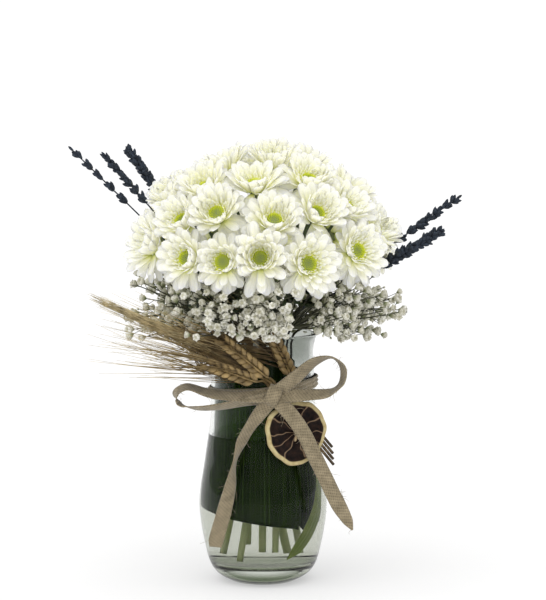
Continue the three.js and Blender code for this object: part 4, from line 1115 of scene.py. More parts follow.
# %% Lavender spikes
# of each spike: millimetres from whorl to whorl, lean of the buds, size of the buds
WHORLS = {
    "left_1": (11.5, (6, 30), 1.25),
    "left_2": (7.6, (12, 38), 1.2),
    "left_3": (4.6, (16, 50), 1.35),
    "right_1": (9.4, (14, 46), 1.3),
    "right_2": (4.8, (18, 55), 1.4),
}
WHORL_BUDS = 10
lavender_random = np.random.default_rng(37)
for name, (azimuth, elevation, reach, share_of_sheaf, spike) in LAVENDER.items():
    line = direction(azimuth, elevation)
    root = CROWN_BASE + line * (reach - spike)
    path = smooth_path(
        [*(sheaf_point(azimuth, share_of_sheaf, z) for z in (140, 196, 218)),
         *(CROWN_BASE + line * d for d in (44, 84, reach - spike, reach - 2))], 60)
    parts = [tubes(path[None], np.linspace(1.0, 0.55, 60), 6)]
    spacing, leans, bud_size = WHORLS[name]
    whorls = int(round(spike / spacing))
    level = (np.arange(whorls) + 0.1) * spike / whorls
    level[:2] -= np.array([5.0, 2.0])  # the lowest two sit a little further down
    count = whorls * WHORL_BUDS
    stray = min(0.32 * spacing, 2.6)
    seat_at = np.repeat(level, WHORL_BUDS) + lavender_random.uniform(-stray, stray, count)
    angle = np.tile(2 * np.pi * np.arange(WHORL_BUDS) / WHORL_BUDS, whorls)
    angle = angle + lavender_random.uniform(-0.3, 0.3, count)
    u, v = cross_axes(line)
    out = u * np.cos(angle)[:, None] + v * np.sin(angle)[:, None]
    lean = np.radians(lavender_random.uniform(*leans, count))
    heading = unit(line * np.cos(lean)[:, None] + out * np.sin(lean)[:, None])
    seats = root + line * seat_at[:, None] + out * 0.5
    taper = bud_size * np.repeat(np.linspace(1.0, 0.82, whorls), WHORL_BUDS)
    lengths = lavender_random.uniform(5.2, 7.0, count) * taper
    girths = lavender_random.uniform(1.2, 1.6, count) * taper
    parts.append(buds(seats, heading, lengths, girths))
    tip = root + line * (spike - 3.5)
    parts.append(buds(tip[None], line[None], np.array([6.0]), np.array([1.3])))
    piece(f"lavender_{name}_dried", parts, lavender_navy.material, [f"lavender_{name}"])

# %% [markdown]
# ## Bearded wheat
# Four ears fan out to the upper left behind the bow, in two layers, and their straws run down to
# the right under the ribbon. An ear has two rows of grains on either face, which overlap like a
# plait, and every grain carries a tuft of awns, stiff bristles longer than the ear itself. Most
# awns are combed into one lock that sweeps to the left, and the rest stand loose.

# %% Places and finish of the wheat
TIE_AZIMUTH, TIE_HEIGHT, TIE_RADIUS = 15.0, 174.0, 48.05
TIE_OUT, TIE_ACROSS = direction(TIE_AZIMUTH, 0), direction(TIE_AZIMUTH + 90, 0)
STRAW_PITCH = 2.9
# of each ear: lean to the left, place of its straw, shift to the right, layer, distance from the
# tie, length, sweep of the loose awns to the left, and their tilt to the front
EARS = [
    dict(lean=25, place=1.5, aside=16.5, layer=3, start=9.5, length=46, sweep=(46, 62), tilt=0.1),
    dict(lean=50, place=0.5, aside=2, layer=11.5, start=17, length=50, sweep=(58, 78), tilt=0.03),
    dict(lean=58, place=-0.5, aside=0, layer=2, start=20, length=52, sweep=(62, 80), tilt=0.0),
    dict(lean=69, place=-1.5, aside=0, layer=11, start=21, length=46, sweep=(66, 88), tilt=0.03),
]
# the first ear's straw as (right, up, layer)
UPRIGHT_STRAW = [(49, -52, 0), (28, -27, -0.5), (14.5, -10, -1.5), (13, 4, -0.5)]


def wheat_point(right, up, layer):
    """A place in the plane that touches the vase at the tie; `layer` is how far out of it."""
    right, up, layer = (np.asarray(v, float)[..., None] for v in (right, up, layer))
    foot = (TIE_RADIUS + layer) * TIE_OUT + right * TIE_ACROSS
    return foot + (TIE_HEIGHT + up) * np.array([0, 0, 1])


straw_gold = Finish("wheat_straw", 0.6)
straw_tone, _ = straw_gold.mottled(150.0, (0.40, 0.275, 0.115), (0.14, 0.093, 0.036), 1.1)
# painted shade: straws, grains and awns darken towards their root ends, where they are tucked in
# among the straws and between the grains
painted_root_shade = straw_gold.ramp(straw_gold.value("along"), [
    (0.0, (0.22, 0.19, 0.16)), (0.3, (0.85, 0.85, 0.85)), (0.6, (1.05, 1.05, 1.0))])
straw_tone = straw_gold.mix(1.0, straw_tone, painted_root_shade, "MULTIPLY")
bleached = straw_gold.ramp(straw_gold.value("awn"), [
    (0.0, (1, 1, 1)), (0.25, (1.15, 1.15, 1.1)), (1.0, (1.8, 2.2, 3.2))])
straw_gold.colour(straw_gold.mix(1.0, straw_tone, bleached, "MULTIPLY"))
straw_gold.bump(straw_gold.fibres(900.0, 900.0), 0.0003, 0.6)

# %% Grains
GRAIN_LENGTH, GRAIN_BREADTH, GRAIN_DEPTH = 11.5, 2.5, 1.9  # the last two are half sizes
GRAIN_ASIDE, GRAIN_FORWARD = 1.3, 1.1  # a grain's seat, from the middle of the ear
LEAN_ASIDE, LEAN_FORWARD = 0.42, 0.22  # how far it leans off the ear's heading
GRAIN_PITCH = 3.1
AWNS_PER_GRAIN, LOOSE_AWN_LENGTHS = 5, (50, 104)
LOCK_END = wheat_point(-163.0, 84.0, 0.0)  # the lock of awns ends here
LOCK_BEND = wheat_point(-72.0, 42.0, 0.0)  # and bends here, where the awns come together
LOCK_END_SPREAD, LOCK_BEND_SPREAD = [2.0, 2.0, 2.2], [5.0, 2.5, 1.3]
LOCK_SHARE = (0.88, 0.78, 0.62, 0.5)  # of each ear's awns


def grains(seats, headings, faces, length, breadth, depth, random):
    """Grains pointed at both ends: width and depth follow sin(pi s^1.1)."""
    around = 6
    s = np.linspace(0.05, 0.95, 8)
    swell = np.sin(np.pi * s**1.1)
    k = 2 * np.pi * np.arange(around) / around
    side = np.cross(headings, faces)
    scale = random.uniform(0.9, 1.1, (len(seats), 1, 1))
    wide = scale * (breadth * swell)[None, :, None] * np.cos(k)
    deep = scale * (depth * swell)[None, :, None] * np.sin(k)
    centre = seats[:, None] + headings[:, None] * (length * s)[:, None]
    rings = centre[:, :, None] + side[:, None, None] * wide[..., None]
    rings = rings + faces[:, None, None] * deep[..., None]
    tips = np.stack([seats, seats + headings * length], axis=1)
    return bodies(rings, tips, {"along": s[None, :, None]})


def on_ear(ear, distance, layer):
    """A place on the ear's own line, so far from the tie."""
    lean = np.radians(ear["lean"])
    return wheat_point(ear["aside"] - np.sin(lean) * distance, np.cos(lean) * distance, layer)


# %% Ears of wheat
wheat_random = np.random.default_rng(53)
for index, ear in enumerate(EARS):
    base = on_ear(ear, ear["start"], ear["layer"])
    heading = unit(on_ear(ear, 1.0, 0.0) - on_ear(ear, 0.0, 0.0))
    side = np.cross(heading, TIE_OUT)
    shift = ear["place"] * STRAW_PITCH
    down = np.array([72 + 4 * index, 36, 3, -8 - 1.5 * index])
    straw = wheat_point(down * 0.64 + shift * 0.77, -down * 0.77 + shift * 0.64, np.zeros(4))
    if index == 0:
        straw = wheat_point(*np.array(UPRIGHT_STRAW, float).T)
    path = smooth_path([*straw, base + heading * 4, base + heading * (ear["length"] - 4)], 60)
    parts = [tubes(path[None], np.where(np.arange(60) < 40, 1.25, 0.9), 8)]
    steps = int(ear["length"] / GRAIN_PITCH)
    level = ear["length"] * (np.arange(steps) + 0.3) / steps
    row = np.tile([1.0, -1.0], steps)[:steps]
    seats, leans, fronts = [], [], []
    for face, offset in ((TIE_OUT, 0.0), (-TIE_OUT, 1.5)):
        for sign in (1.0, -1.0):
            own = level[row == sign] + offset
            taper = np.clip(1.15 - 0.5 * own / ear["length"], 0.5, 1)[:, None]
            seats.append(base + heading * own[:, None] + side * sign * GRAIN_ASIDE * taper
                         + face * GRAIN_FORWARD)
            tilted = unit(heading + side * sign * LEAN_ASIDE + face * LEAN_FORWARD)
            leans.append(np.broadcast_to(tilted, (len(own), 3)))
            fronts.append(np.broadcast_to(face, (len(own), 3)))
    seats, leans, fronts = np.concatenate(seats), np.concatenate(leans), np.concatenate(fronts)
    fronts = unit(fronts - leans * (fronts * leans).sum(axis=1, keepdims=True))
    parts.append(grains(seats, leans, fronts, GRAIN_LENGTH, GRAIN_BREADTH, GRAIN_DEPTH,
                        wheat_random))
    count = len(seats) * AWNS_PER_GRAIN
    start = np.repeat(seats + leans * 10.0, AWNS_PER_GRAIN, axis=0)
    first = np.repeat(leans, AWNS_PER_GRAIN, axis=0)
    sweep = np.radians(wheat_random.uniform(*ear["sweep"], count))
    out = wheat_random.uniform(-0.02, 0.05, count) + ear["tilt"]
    aim = unit(wheat_point(-np.sin(sweep), np.cos(sweep), out) - wheat_point(0.0, 0.0, 0.0))
    loose = start + aim * wheat_random.uniform(*LOOSE_AWN_LENGTHS, count)[:, None]
    lock = LOCK_END + wheat_random.normal(0, 1, (count, 3)) * LOCK_END_SPREAD
    bend = LOCK_BEND + wheat_random.normal(0, 1, (count, 3)) * LOCK_BEND_SPREAD
    shorter = 0.35 + 0.65 * wheat_random.uniform(0, 1, (count, 1)) ** 1.5
    lock = bend + (lock - bend) * shorter
    in_lock = (wheat_random.uniform(0, 1, count) < LOCK_SHARE[index])[:, None]
    end = np.where(in_lock, lock, loose)
    s = np.linspace(0, 1, 9)[None, :, None]
    reach = np.linalg.norm(end - start, axis=1)[:, None, None]
    droop = wheat_random.uniform(-0.01, 0.05, (count, 1, 1)) * reach * np.array([0, 0, -4.0])
    droop = droop * np.where(in_lock[..., None], 0.5, 0.35)
    first_pull = np.where(in_lock, bend + (start - bend) * 0.22, start * 0.67 + end * 0.33)
    second_pull = np.where(in_lock, bend + (end - bend) * 0.10, start * 0.33 + end * 0.67)
    awn = start[:, None] * (1 - s) ** 3 + first_pull[:, None] * (3 * s * (1 - s) ** 2)
    awn = awn + second_pull[:, None] * (3 * s**2 * (1 - s)) + end[:, None] * s**3
    awn = awn + droop * (s * (1 - s)) + first[:, None] * (0.10 * reach * s * (1 - s) ** 2)
    parts.append(tubes(awn, np.linspace(0.36, 0.11, 9), 3, {"awn": s}))
    piece(f"wheat_ear_{index + 1}_bearded", parts, straw_gold.material,
          [f"wheat_ear_{index + 1}"])

# %% [markdown]
# ## The jute ribbon
# The ribbon is one flat strip of coarse jute, 13 mm wide. It goes round the neck and is tied in a
# bow with two loops and two tails. Each length of it is a strip carried along a path, with the
# direction of its width given at every station, so it can twist as the real one does. Its u and
# v run across and along in millimetres, and the weave is drawn in them.

# %% Jute finish
RIBBON_WIDTH, RIBBON_THICKNESS = 13.0, 0.9
jute = Finish("jute_weave", 0.95)
sway = jute.math("MULTIPLY", jute.noise(260.0), 2.4)  # threads wander by a millimetre or so
u_value = jute.math("ADD", jute.value("u"), sway)
v_value = jute.math("ADD", jute.math("ADD", jute.value("v"), sway),
                    jute.math("MULTIPLY", jute.value("u"), 0.35))
THREAD = 2 * math.pi / 2.9  # one thread over and one under in 2.9 mm
warp = jute.math("SINE", jute.math("MULTIPLY", u_value, THREAD))
weft = jute.math("SINE", jute.math("MULTIPLY", v_value, THREAD))
check = jute.math("MULTIPLY", warp, weft)
weave = jute.math("ADD", jute.math("MULTIPLY", check, 0.5), 0.5)
height = jute.math("ADD", weave, jute.math("MULTIPLY", jute.noise(900.0, 3.0), 0.6))
tone, _ = jute.mottled(160.0, (0.33, 0.275, 0.185), (0.20, 0.165, 0.105), 1.0)
# painted shade and light: the weave's hollows are darker and its raised threads lighter
painted_weave_shade = jute.ramp(height, [(0.25, (0.56, 0.53, 0.47)), (0.8, (0.95, 0.94, 0.90)),
                          (1.0, (1.08, 1.06, 0.99))])
jute.colour(jute.mix(1.0, tone, painted_weave_shade, "MULTIPLY"))
jute.bump(height, 0.0004, 0.7)
jute.set({"Sheen Weight": 0.3})
STRIP_COLUMNS = 9


def ribbon(stations, count):
    """A strip through stations of (centre, width direction, share of the width), all smooth along
    it. It is a thick sheet nine points wide, and curls a little across its width, in waves along
    its length. Returns the body and the strip's flat length."""
    centre = smooth_path([s[0] for s in stations], count)
    wide = smooth_path([unit(np.array(s[1], float)) for s in stations], count)
    share = smooth_path([[s[2] if len(s) > 2 else 1.0, 0, 0] for s in stations], count)[:, :1]
    heading = unit(np.gradient(centre, axis=0))
    wide = unit(wide - heading * (wide * heading).sum(axis=1, keepdims=True))
    thick = np.cross(heading, wide)
    length = np.concatenate([[0], np.cumsum(np.linalg.norm(np.diff(centre, axis=0), axis=1))])
    side = np.linspace(-1, 1, STRIP_COLUMNS)
    curl = 0.35 * (side**2 - 0.4) * np.sin(length / 17.0)[:, None]
    aside = RIBBON_WIDTH / 2 * share * side
    surface = centre[:, None] + wide[:, None] * aside[..., None] + thick[:, None] * curl[..., None]
    values = {"u": aside, "v": length[:, None]}
    return thick_sheet(surface, thick[:, None], RIBBON_THICKNESS, values), length[-1]


# %% Bow and tails
LEFT_LOOP = [((5, -58, 170), (0, 0.5, 1)), ((-20, -61, 170), (0, 1, 0.7)),
             ((-46, -63, 173), (0, 1, 0.5)), ((-65, -63, 178), (-0.2, 1, 0.3)),
             ((-74, -62, 172), (-0.4, 1, 0.1)), ((-71, -62, 164), (0.2, 1, 0)),
             ((-58, -62, 160), (0.1, 1, -0.35)), ((-36, -62, 161), (0, 1, -0.6)),
             ((-14, -60, 165), (0, 1, -0.8)), ((5, -58, 168), (0, 0.6, -1))]
RIGHT_LOOP = [((11, -57, 172), (0.5, 0.3, -0.7)), ((28, -61, 186), (0.6, 0.5, -0.7)),
              ((45, -62, 200), (0.5, 1, -0.6)), ((59, -62, 203), (0, 1, -0.2)),
              ((68, -61, 195), (-0.4, 1, 0)), ((67, -60, 181), (-0.3, 1, 0)),
              ((57, -60, 173), (0.3, 1, 0.5)), ((36, -59, 171), (0, 1, 0.9)),
              ((11, -57, 170), (0, 0.3, 1))]
LEFT_TAIL = [((8, -58, 168), (0.75, 0, 0.5)), ((-6, -57, 150), (0.75, 0.1, 0.5)),
             ((-17, -54, 132), (0.8, 0.5, 0.4)), ((-24, -54, 112), (0.3, 1, 0.1), 0.9),
             ((-28, -54, 90), (0.8, 0.7, 0)), ((-34, -51.5, 66), (1, 0.2, -0.2)),
             ((-40, -47, 44), (1, 0.1, -0.2)), ((-41, -46, 37), (1, 0.1, -0.2), 0.8)]
RIGHT_TAIL = [((10, -60, 169), (0.8, 0.1, 0.5)), ((23, -60, 155), (0.8, 0.2, 0.55)),
              ((35, -56, 137), (0.85, 0.25, 0.5)), ((44, -53, 118), (0.9, 0.25, 0.45)),
              ((54, -50, 97), (0.9, 0.2, 0.5)), ((64, -49, 76), (0.9, 0.2, 0.5)),
              ((73, -48, 60), (0.9, 0.2, 0.5), 0.7), ((77, -48, 52), (0.9, 0.2, 0.5), 0.1)]
STRIP_ROWS = 90
strip_edges = []
for name, line in (("left_loop", LEFT_LOOP), ("right_loop", RIGHT_LOOP), ("left_tail", LEFT_TAIL),
                   ("right_tail", RIGHT_TAIL)):
    body, length = ribbon([(np.array(s[0], float), *s[1:]) for s in line], STRIP_ROWS)
    grid = body["points"][:-2].reshape(STRIP_ROWS, 2 * STRIP_COLUMNS, 3)
    strip_edges.append(grid[:, [0, STRIP_COLUMNS - 1]])
    strip = piece(f"ribbon_{name}", [body], jute.material, ["jute_ribbon"])

# %% Band and knot
BAND_COLUMNS, BAND_CLEARANCE, FOLD_DEPTH = 17, 0.35, 0.8
band_azimuth = np.arange(0, 360, 3.0)
away = (band_azimuth - TIE_AZIMUTH + 540) % 360 - 180
lift = 5.8 * np.exp(-((away / 30) ** 4))  # over the straws at the tie
middle = 171 + 5 * np.sin(np.radians(band_azimuth))
widest = np.maximum(vase_radius(middle - 6.5), vase_radius(middle + 6.5))
inside = widest + BAND_CLEARANCE + lift
across = np.linspace(-1, 1, BAND_COLUMNS)
fold = FOLD_DEPTH * np.cos(across * 9 + np.sin(np.radians(band_azimuth * 3))[:, None])
radius_grid = inside[:, None] + RIBBON_THICKNESS / 2 + FOLD_DEPTH + fold
surface = polar(band_azimuth[:, None], radius_grid, middle[:, None] + 4.9 * across)
normal = polar(band_azimuth[:, None], np.ones((1, BAND_COLUMNS)), np.zeros((1, BAND_COLUMNS)))
out, back = surface + normal * RIBBON_THICKNESS / 2, surface - normal * RIBBON_THICKNESS / 2
section = np.concatenate([out, back[:, ::-1]], axis=1)
turns, sides = section.shape[:2]
i, j = np.meshgrid(np.arange(turns), np.arange(sides), indexing="ij")
a, b = i * sides + j, i * sides + (j + 1) % sides
c, d = ((i + 1) % turns) * sides + (j + 1) % sides, ((i + 1) % turns) * sides + j
arc = np.radians(band_azimuth)[:, None] * 47
u_band = np.broadcast_to(np.concatenate([across, across[::-1]]) * 6.5, (turns, sides))
band_part = {
    "points": section.reshape(-1, 3), "quads": np.stack([a, b, c, d], -1).reshape(-1, 4),
    "triangles": np.zeros((0, 3), int),
    "values": {"u": u_band.ravel(), "v": np.broadcast_to(arc, (turns, sides)).ravel()},
}
band = piece("ribbon_band", [band_part], jute.material, ["jute_ribbon"])

KNOT = np.array([8.5, -57.0, 170.0])
knot_turn = np.radians(np.linspace(-60, 300, 40))
knot_lean = unit(np.array([0.45, 0, 1.0]))
KNOT_TALL, KNOT_DEEP = 8.6, 5.0
knot_path = [
    (KNOT + knot_lean * KNOT_TALL * math.sin(a)
     + np.array([0, -1, 0]) * (KNOT_DEEP * math.cos(a) + 0.6),
     (0.9, 0.05 * math.sin(2 * a), -0.42), 0.86 + 0.10 * math.cos(a)) for a in knot_turn
]
body, length = ribbon(knot_path, 80)
knot = piece("ribbon_knot", [body], jute.material, ["jute_ribbon"])

# %% [markdown]
# ## Loose fibres
# Cut jute frays: single fibres stand off its edges and curl. Each is a hair-thin tube along a
# curve pulled towards one point beside it, starts on an edge of a loop or a tail, and stays off
# the glass.

# %% Frays
FRAYS, FRAY_LENGTHS, OFF_GLASS = 120, (2.5, 9.0), 0.5
fray_random = np.random.default_rng(19)
edges = np.concatenate(strip_edges)
at_station = fray_random.integers(0, len(edges), FRAYS)
at_edge = fray_random.integers(0, 2, FRAYS)
root = edges[at_station, at_edge]
away = unit(root - edges[at_station, 1 - at_edge])
aim = unit(away * 0.5 + fray_random.normal(0, 0.6, (FRAYS, 3)) + [0, -0.25, -0.2])
loose_end = root + aim * fray_random.uniform(*FRAY_LENGTHS, (FRAYS, 1))
pull = ((root + loose_end) / 2 + fray_random.normal(0, 1.4, (FRAYS, 3)))[:, None]
s = np.linspace(0, 1, 7)[None, :, None]
hairs = root[:, None] * (1 - s) ** 2 + pull * (2 * s * (1 - s)) + loose_end[:, None] * s**2
from_axis = np.linalg.norm(hairs[..., :2], axis=-1, keepdims=True)
hairs[..., :2] *= np.maximum(1, (vase_radius(hairs[..., 2:]) + OFF_GLASS) / from_axis)
piece("ribbon_frays", [tubes(hairs, np.linspace(0.17, 0.10, 7), 3)], jute.material,
      ["jute_ribbon"])

# %% [markdown]
# ## The dried slice
# A slice of citrus, dried until it is almost black between its pale skins. Seen from the front it
# is a ring of pale rind, ten segments that have sunk between their membranes, a pale core and one
# pip. Its surface height is a function of how far out and how far round a point lies.

# %% Slice finish
SLICE_RADIUS, SLICE_THICKNESS, SEGMENTS = 27.0, 5.0, 10
slice_half = SLICE_THICKNESS / 2
SLICE_OFF_GLASS = 2.25  # off the plane at the tie, as the belly bulges behind the slice
slice_centre = wheat_point(15.0, 137 - TIE_HEIGHT, SLICE_OFF_GLASS + slice_half)
slice_u, slice_v = cross_axes(TIE_OUT)

citrus = Finish("dried_citrus", 0.7)
citrus.set({"Specular IOR Level": 0.2})
far, seam = citrus.value("far"), citrus.value("seam")
flesh, _ = citrus.mottled(230.0, (0.026, 0.011, 0.006), (0.004, 0.002, 0.002), 1.2)
skin = citrus.ramp(seam, [(0.0, (0, 0, 0)), (0.90, (0, 0, 0)), (0.965, (0.5, 0.5, 0.5)),
                          (1.0, (0.8, 0.8, 0.8))])
inside_colour = citrus.mix(skin, flesh, (0.30, 0.20, 0.12))
rind_tone, _ = citrus.mottled(200.0, (0.60, 0.52, 0.29), (0.40, 0.30, 0.13), 1.0)
rind_mask = citrus.ramp(far, [(0.0, (0, 0, 0)), (0.855, (0, 0, 0)), (0.885, (1, 1, 1)),
                              (1.0, (1, 1, 1))])
core_mask = citrus.ramp(far, [(0.0, (1, 1, 1)), (0.05, (0.8, 0.8, 0.8)), (0.10, (0, 0, 0))])
inside_colour = citrus.mix(core_mask, inside_colour, (0.50, 0.38, 0.22))
citrus.colour(citrus.mix(rind_mask, inside_colour, rind_tone))
citrus.bump(citrus.noise(420.0, 4.0), 0.0008, 0.7)

# %% Slice form
spokes = 180
angle = 2 * np.pi * np.arange(spokes) / spokes
share = np.concatenate([np.linspace(0.03, 0.84, 18), np.linspace(0.87, 1.0, 8)])
wavy = 1 + 0.028 * np.sin(3 * angle) + 0.016 * np.sin(7 * angle + 1) + 0.009 * np.sin(13 * angle)
phase = SEGMENTS * angle / 2 + 0.45 * np.sin(angle * 2) + 0.3 * np.sin(angle * 3 + 1)
share_out = share[:, None]
wander = 0.35 * np.sin(7 * share_out + 2 * angle) + 0.18 * np.sin(17 * share_out + 5 * angle)
seam_value = np.cos(phase + wander) ** 2
seam_value = seam_value ** (0.6 + 2.4 * share_out)
flesh_zone = np.clip((0.84 - share_out) / 0.10, 0, 1) * np.clip(share_out / 0.12, 0, 1)
sink = 1.25 * flesh_zone * (1 - seam_value) + 0.5 * flesh_zone
edge = np.clip((share_out - 0.90) / 0.10, 0, 1)
level = (slice_half - sink) * np.sqrt(np.maximum(1 - edge**2.2, 0.0))
level = level + 0.25 * np.sin(angle * 3 + share_out * 4) * (1 - edge)
radius_grid = SLICE_RADIUS * share_out * wavy


def slice_side(sign):
    """The front of the slice, or with the sign turned its back."""
    flat = (
        slice_u * (radius_grid * np.cos(angle))[..., None]
        + slice_v * (1.04 * radius_grid * np.sin(angle))[..., None]
    )
    return slice_centre + flat + TIE_OUT * (sign * level)[..., None]


front, behind = slice_side(1.0), slice_side(-1.0)
rings = np.concatenate([front, behind[::-1][1:]])[None]
core = TIE_OUT * (slice_half - 0.9)
tips = np.stack([slice_centre + core, slice_centre - core])[None]
far_grid = np.concatenate([share, share[::-1][1:]])[None, :, None]
seam_grid = np.concatenate([seam_value, seam_value[::-1][1:]])[None]
slice_part = bodies(rings, tips, {"far": far_grid, "seam": seam_grid})
pip_seat = slice_centre + TIE_OUT * (slice_half - 1.0) + slice_u * 1.0 - slice_v * 1.5
pip_heading = -unit(slice_v * 0.9 + slice_u * 0.3)[None]
pip = buds(pip_seat[None], pip_heading, np.array([7.0]), np.array([1.6]), 10)
pip["values"] = {"far": np.full(len(pip["points"]), 0.02), "seam": np.ones(len(pip["points"]))}
piece("citrus_slice_dried", [slice_part, pip], citrus.material, ["citrus_slice"])

# %% [markdown]
# ## Baby's breath
# Hundreds of small double flowers on wiry stems make a cloud under the blooms. Each spray is one
# stem that forks at the crown, and each fork bears twigs. A flower is a ruffled ball on a green
# cup, and between the flowers stand buds that have not opened. A place is kept only if a ball of
# the head's size fits there, clear of blooms, leaves, stems, lavender and wheat; two heads may
# press into each other a little, and the wiry stems aren't tested.

# %% Baby's breath finish
gyp_cream = Finish("gypsophila_petals", 0.8)
# from the green cup to cream and white; the dimple on top is darker, painted shade
cup_to_tip = gyp_cream.ramp(gyp_cream.value("along"), [
    (0.0, (0.10, 0.14, 0.05)), (0.20, (0.38, 0.40, 0.25)), (0.36, (0.86, 0.85, 0.76)),
    (0.75, (0.98, 0.97, 0.93)), (1.0, (0.66, 0.64, 0.50))])
gyp_tint = gyp_cream.ramp(gyp_cream.value("tint"), [(0.0, (0.72, 0.71, 0.65)), (1.0, (1, 1, 1))])
# painted shade: a fine mottle darkens the folds between the petals
painted_fold_shade, fold_mask = gyp_cream.mottled(620.0, (1.0, 1.0, 1.0), (0.58, 0.57, 0.48), 0.8)
gyp_white = gyp_cream.mix(1.0, cup_to_tip, gyp_tint, "MULTIPLY")
gyp_colour = gyp_cream.mix(1.0, gyp_white, painted_fold_shade, "MULTIPLY")
gyp_cream.colour(gyp_colour)
# painted light: a faint glow in the heads' own colour lifts their shade
gyp_cream.glow(gyp_colour, 0.07)
gyp_cream.bump(fold_mask, 0.0007, 0.8)
gyp_stem_finish = Finish("gypsophila_stems", 0.7)
wiry, _ = gyp_stem_finish.mottled(90.0, (0.090, 0.095, 0.050), (0.030, 0.028, 0.018), 1.0)
gyp_stem_finish.colour(wiry)
gyp_stem_finish.bump(gyp_stem_finish.fibres(900.0, 900.0), 0.0002, 0.4)


# %% Baby's breath heads
def ruffled_heads(centres, headings, radii, random):
    """Balls of five petals in rings: ring n has radius r (1 + w cos(5 a + pi n)), so that each
    ring's petals stand in the gaps of the last one, on a narrow cup, with a dimple on top. The
    ripple w differs from head to head and grows from the cup upwards."""
    rows, around = 6, 10
    height = np.array([-1.15, -0.62, -0.05, 0.50, 0.88, 0.52])
    girth = np.array([0.18, 0.58, 0.92, 1.04, 0.66, 0.24])
    k = 2 * np.pi * np.arange(around) / around
    spin = random.uniform(0, 6.28, (len(centres), 1, 1))
    ripple = random.uniform(0.08, 0.24, (len(centres), 1, 1))
    wave = 1 + ripple * np.cos(5 * k + np.pi * np.arange(rows)[:, None])
    grow = np.array([0, 0.4, 0.9, 1.2, 1.3, 1.0])[:, None]
    girth_grid = girth[:, None] * (1 + grow * (wave - 1))
    u, v = cross_axes(headings)
    turn = (k + spin)[..., None]
    circle = u[:, None, None] * np.cos(turn) + v[:, None, None] * np.sin(turn)
    size = radii[:, None, None]
    rings = centres[:, None, None] + headings[:, None, None] * (size * height[:, None])[..., None]
    rings = rings + circle * (size * girth_grid)[..., None]
    tips = np.stack([centres - headings * radii[:, None] * 1.4,
                     centres + headings * radii[:, None] * 0.5], 1)
    tint = random.uniform(0, 1, (len(centres), 1, 1))
    return bodies(rings, tips, {"along": np.linspace(0, 1, rows)[None, :, None], "tint": tint})


# %% Where a head may sit
OBSTACLES = ("petals_", "discs_", "leaves_", "lavender_", "wheat_ear", "stems_")


def obstacle_tree():
    """One search tree over the blooms, leaves, stems, lavender and wheat."""
    points, faces, start = [], [], 0
    for thing in bpy.data.objects:
        shown = thing.type == "MESH" and not thing.hide_render
        if not (shown and thing.name.startswith(OBSTACLES)):
            continue
        mesh = thing.data
        co = np.empty(len(mesh.vertices) * 3, np.float32)
        mesh.vertices.foreach_get("co", co)
        mesh.calc_loop_triangles()
        index = np.empty(len(mesh.loop_triangles) * 3, np.int32)
        mesh.loop_triangles.foreach_get("vertices", index)
        points.append(co.reshape(-1, 3) / MM)
        faces.append(index.reshape(-1, 3) + start)
        start += len(mesh.vertices)
    return BVHTree.FromPolygons(np.concatenate(points).tolist(), np.concatenate(faces).tolist())


obstacles = obstacle_tree()
gyp_random = np.random.default_rng(71)
GYP_AZIMUTHS = (-25, 28, 98, 152, -156, -100)
FORK_TRIES, TWIG_TRIES, TWIGS_PER_FORK = 66, 34, 6
OPEN_SHARE, BUD_RADIUS = 0.72, 1.2
HEAD_GAP = 0.4  # from a head to an obstacle
PRESSED = 0.80  # heads may be as near as this share of the sum of their radii
GAP_FROM, GAP_TO, GAP_THINNED = 14, 34, 0.97  # azimuths, and the share of places left out
SIDES_FROM, SIDES_THINNED = 84, 0.45
taken = []


def is_free(place, radius):
    """Clear of the obstacles by its radius and a gap, and not pressed too far into other heads."""
    hit = obstacles.find_nearest(Vector(place), radius + HEAD_GAP)
    if hit[0] is not None:
        return False
    if taken:
        gap = np.linalg.norm(np.array([t[0] for t in taken]) - place, axis=1)
        return bool((gap > (np.array([t[1] for t in taken]) + radius) * PRESSED).all())
    return True


def belongs(place, wider):
    """In the ring round the crown, higher at the front, where the wheat is, than at the back. Most
    places are left out in the gap at the front right, where the leaves show, and nearly half at
    both sides."""
    x, y, z = place
    turned = math.degrees(math.atan2(x, -y))
    in_gap = GAP_FROM < turned < GAP_TO and gyp_random.uniform() < GAP_THINNED
    if abs(x) > SIDES_FROM and gyp_random.uniform() < SIDES_THINNED:
        return False
    in_ring = 54 < math.hypot(x, y) < 121 + wider and abs(y) < 122
    return in_ring and z > 212 + 0.11 * max(0.0, -y) and not in_gap


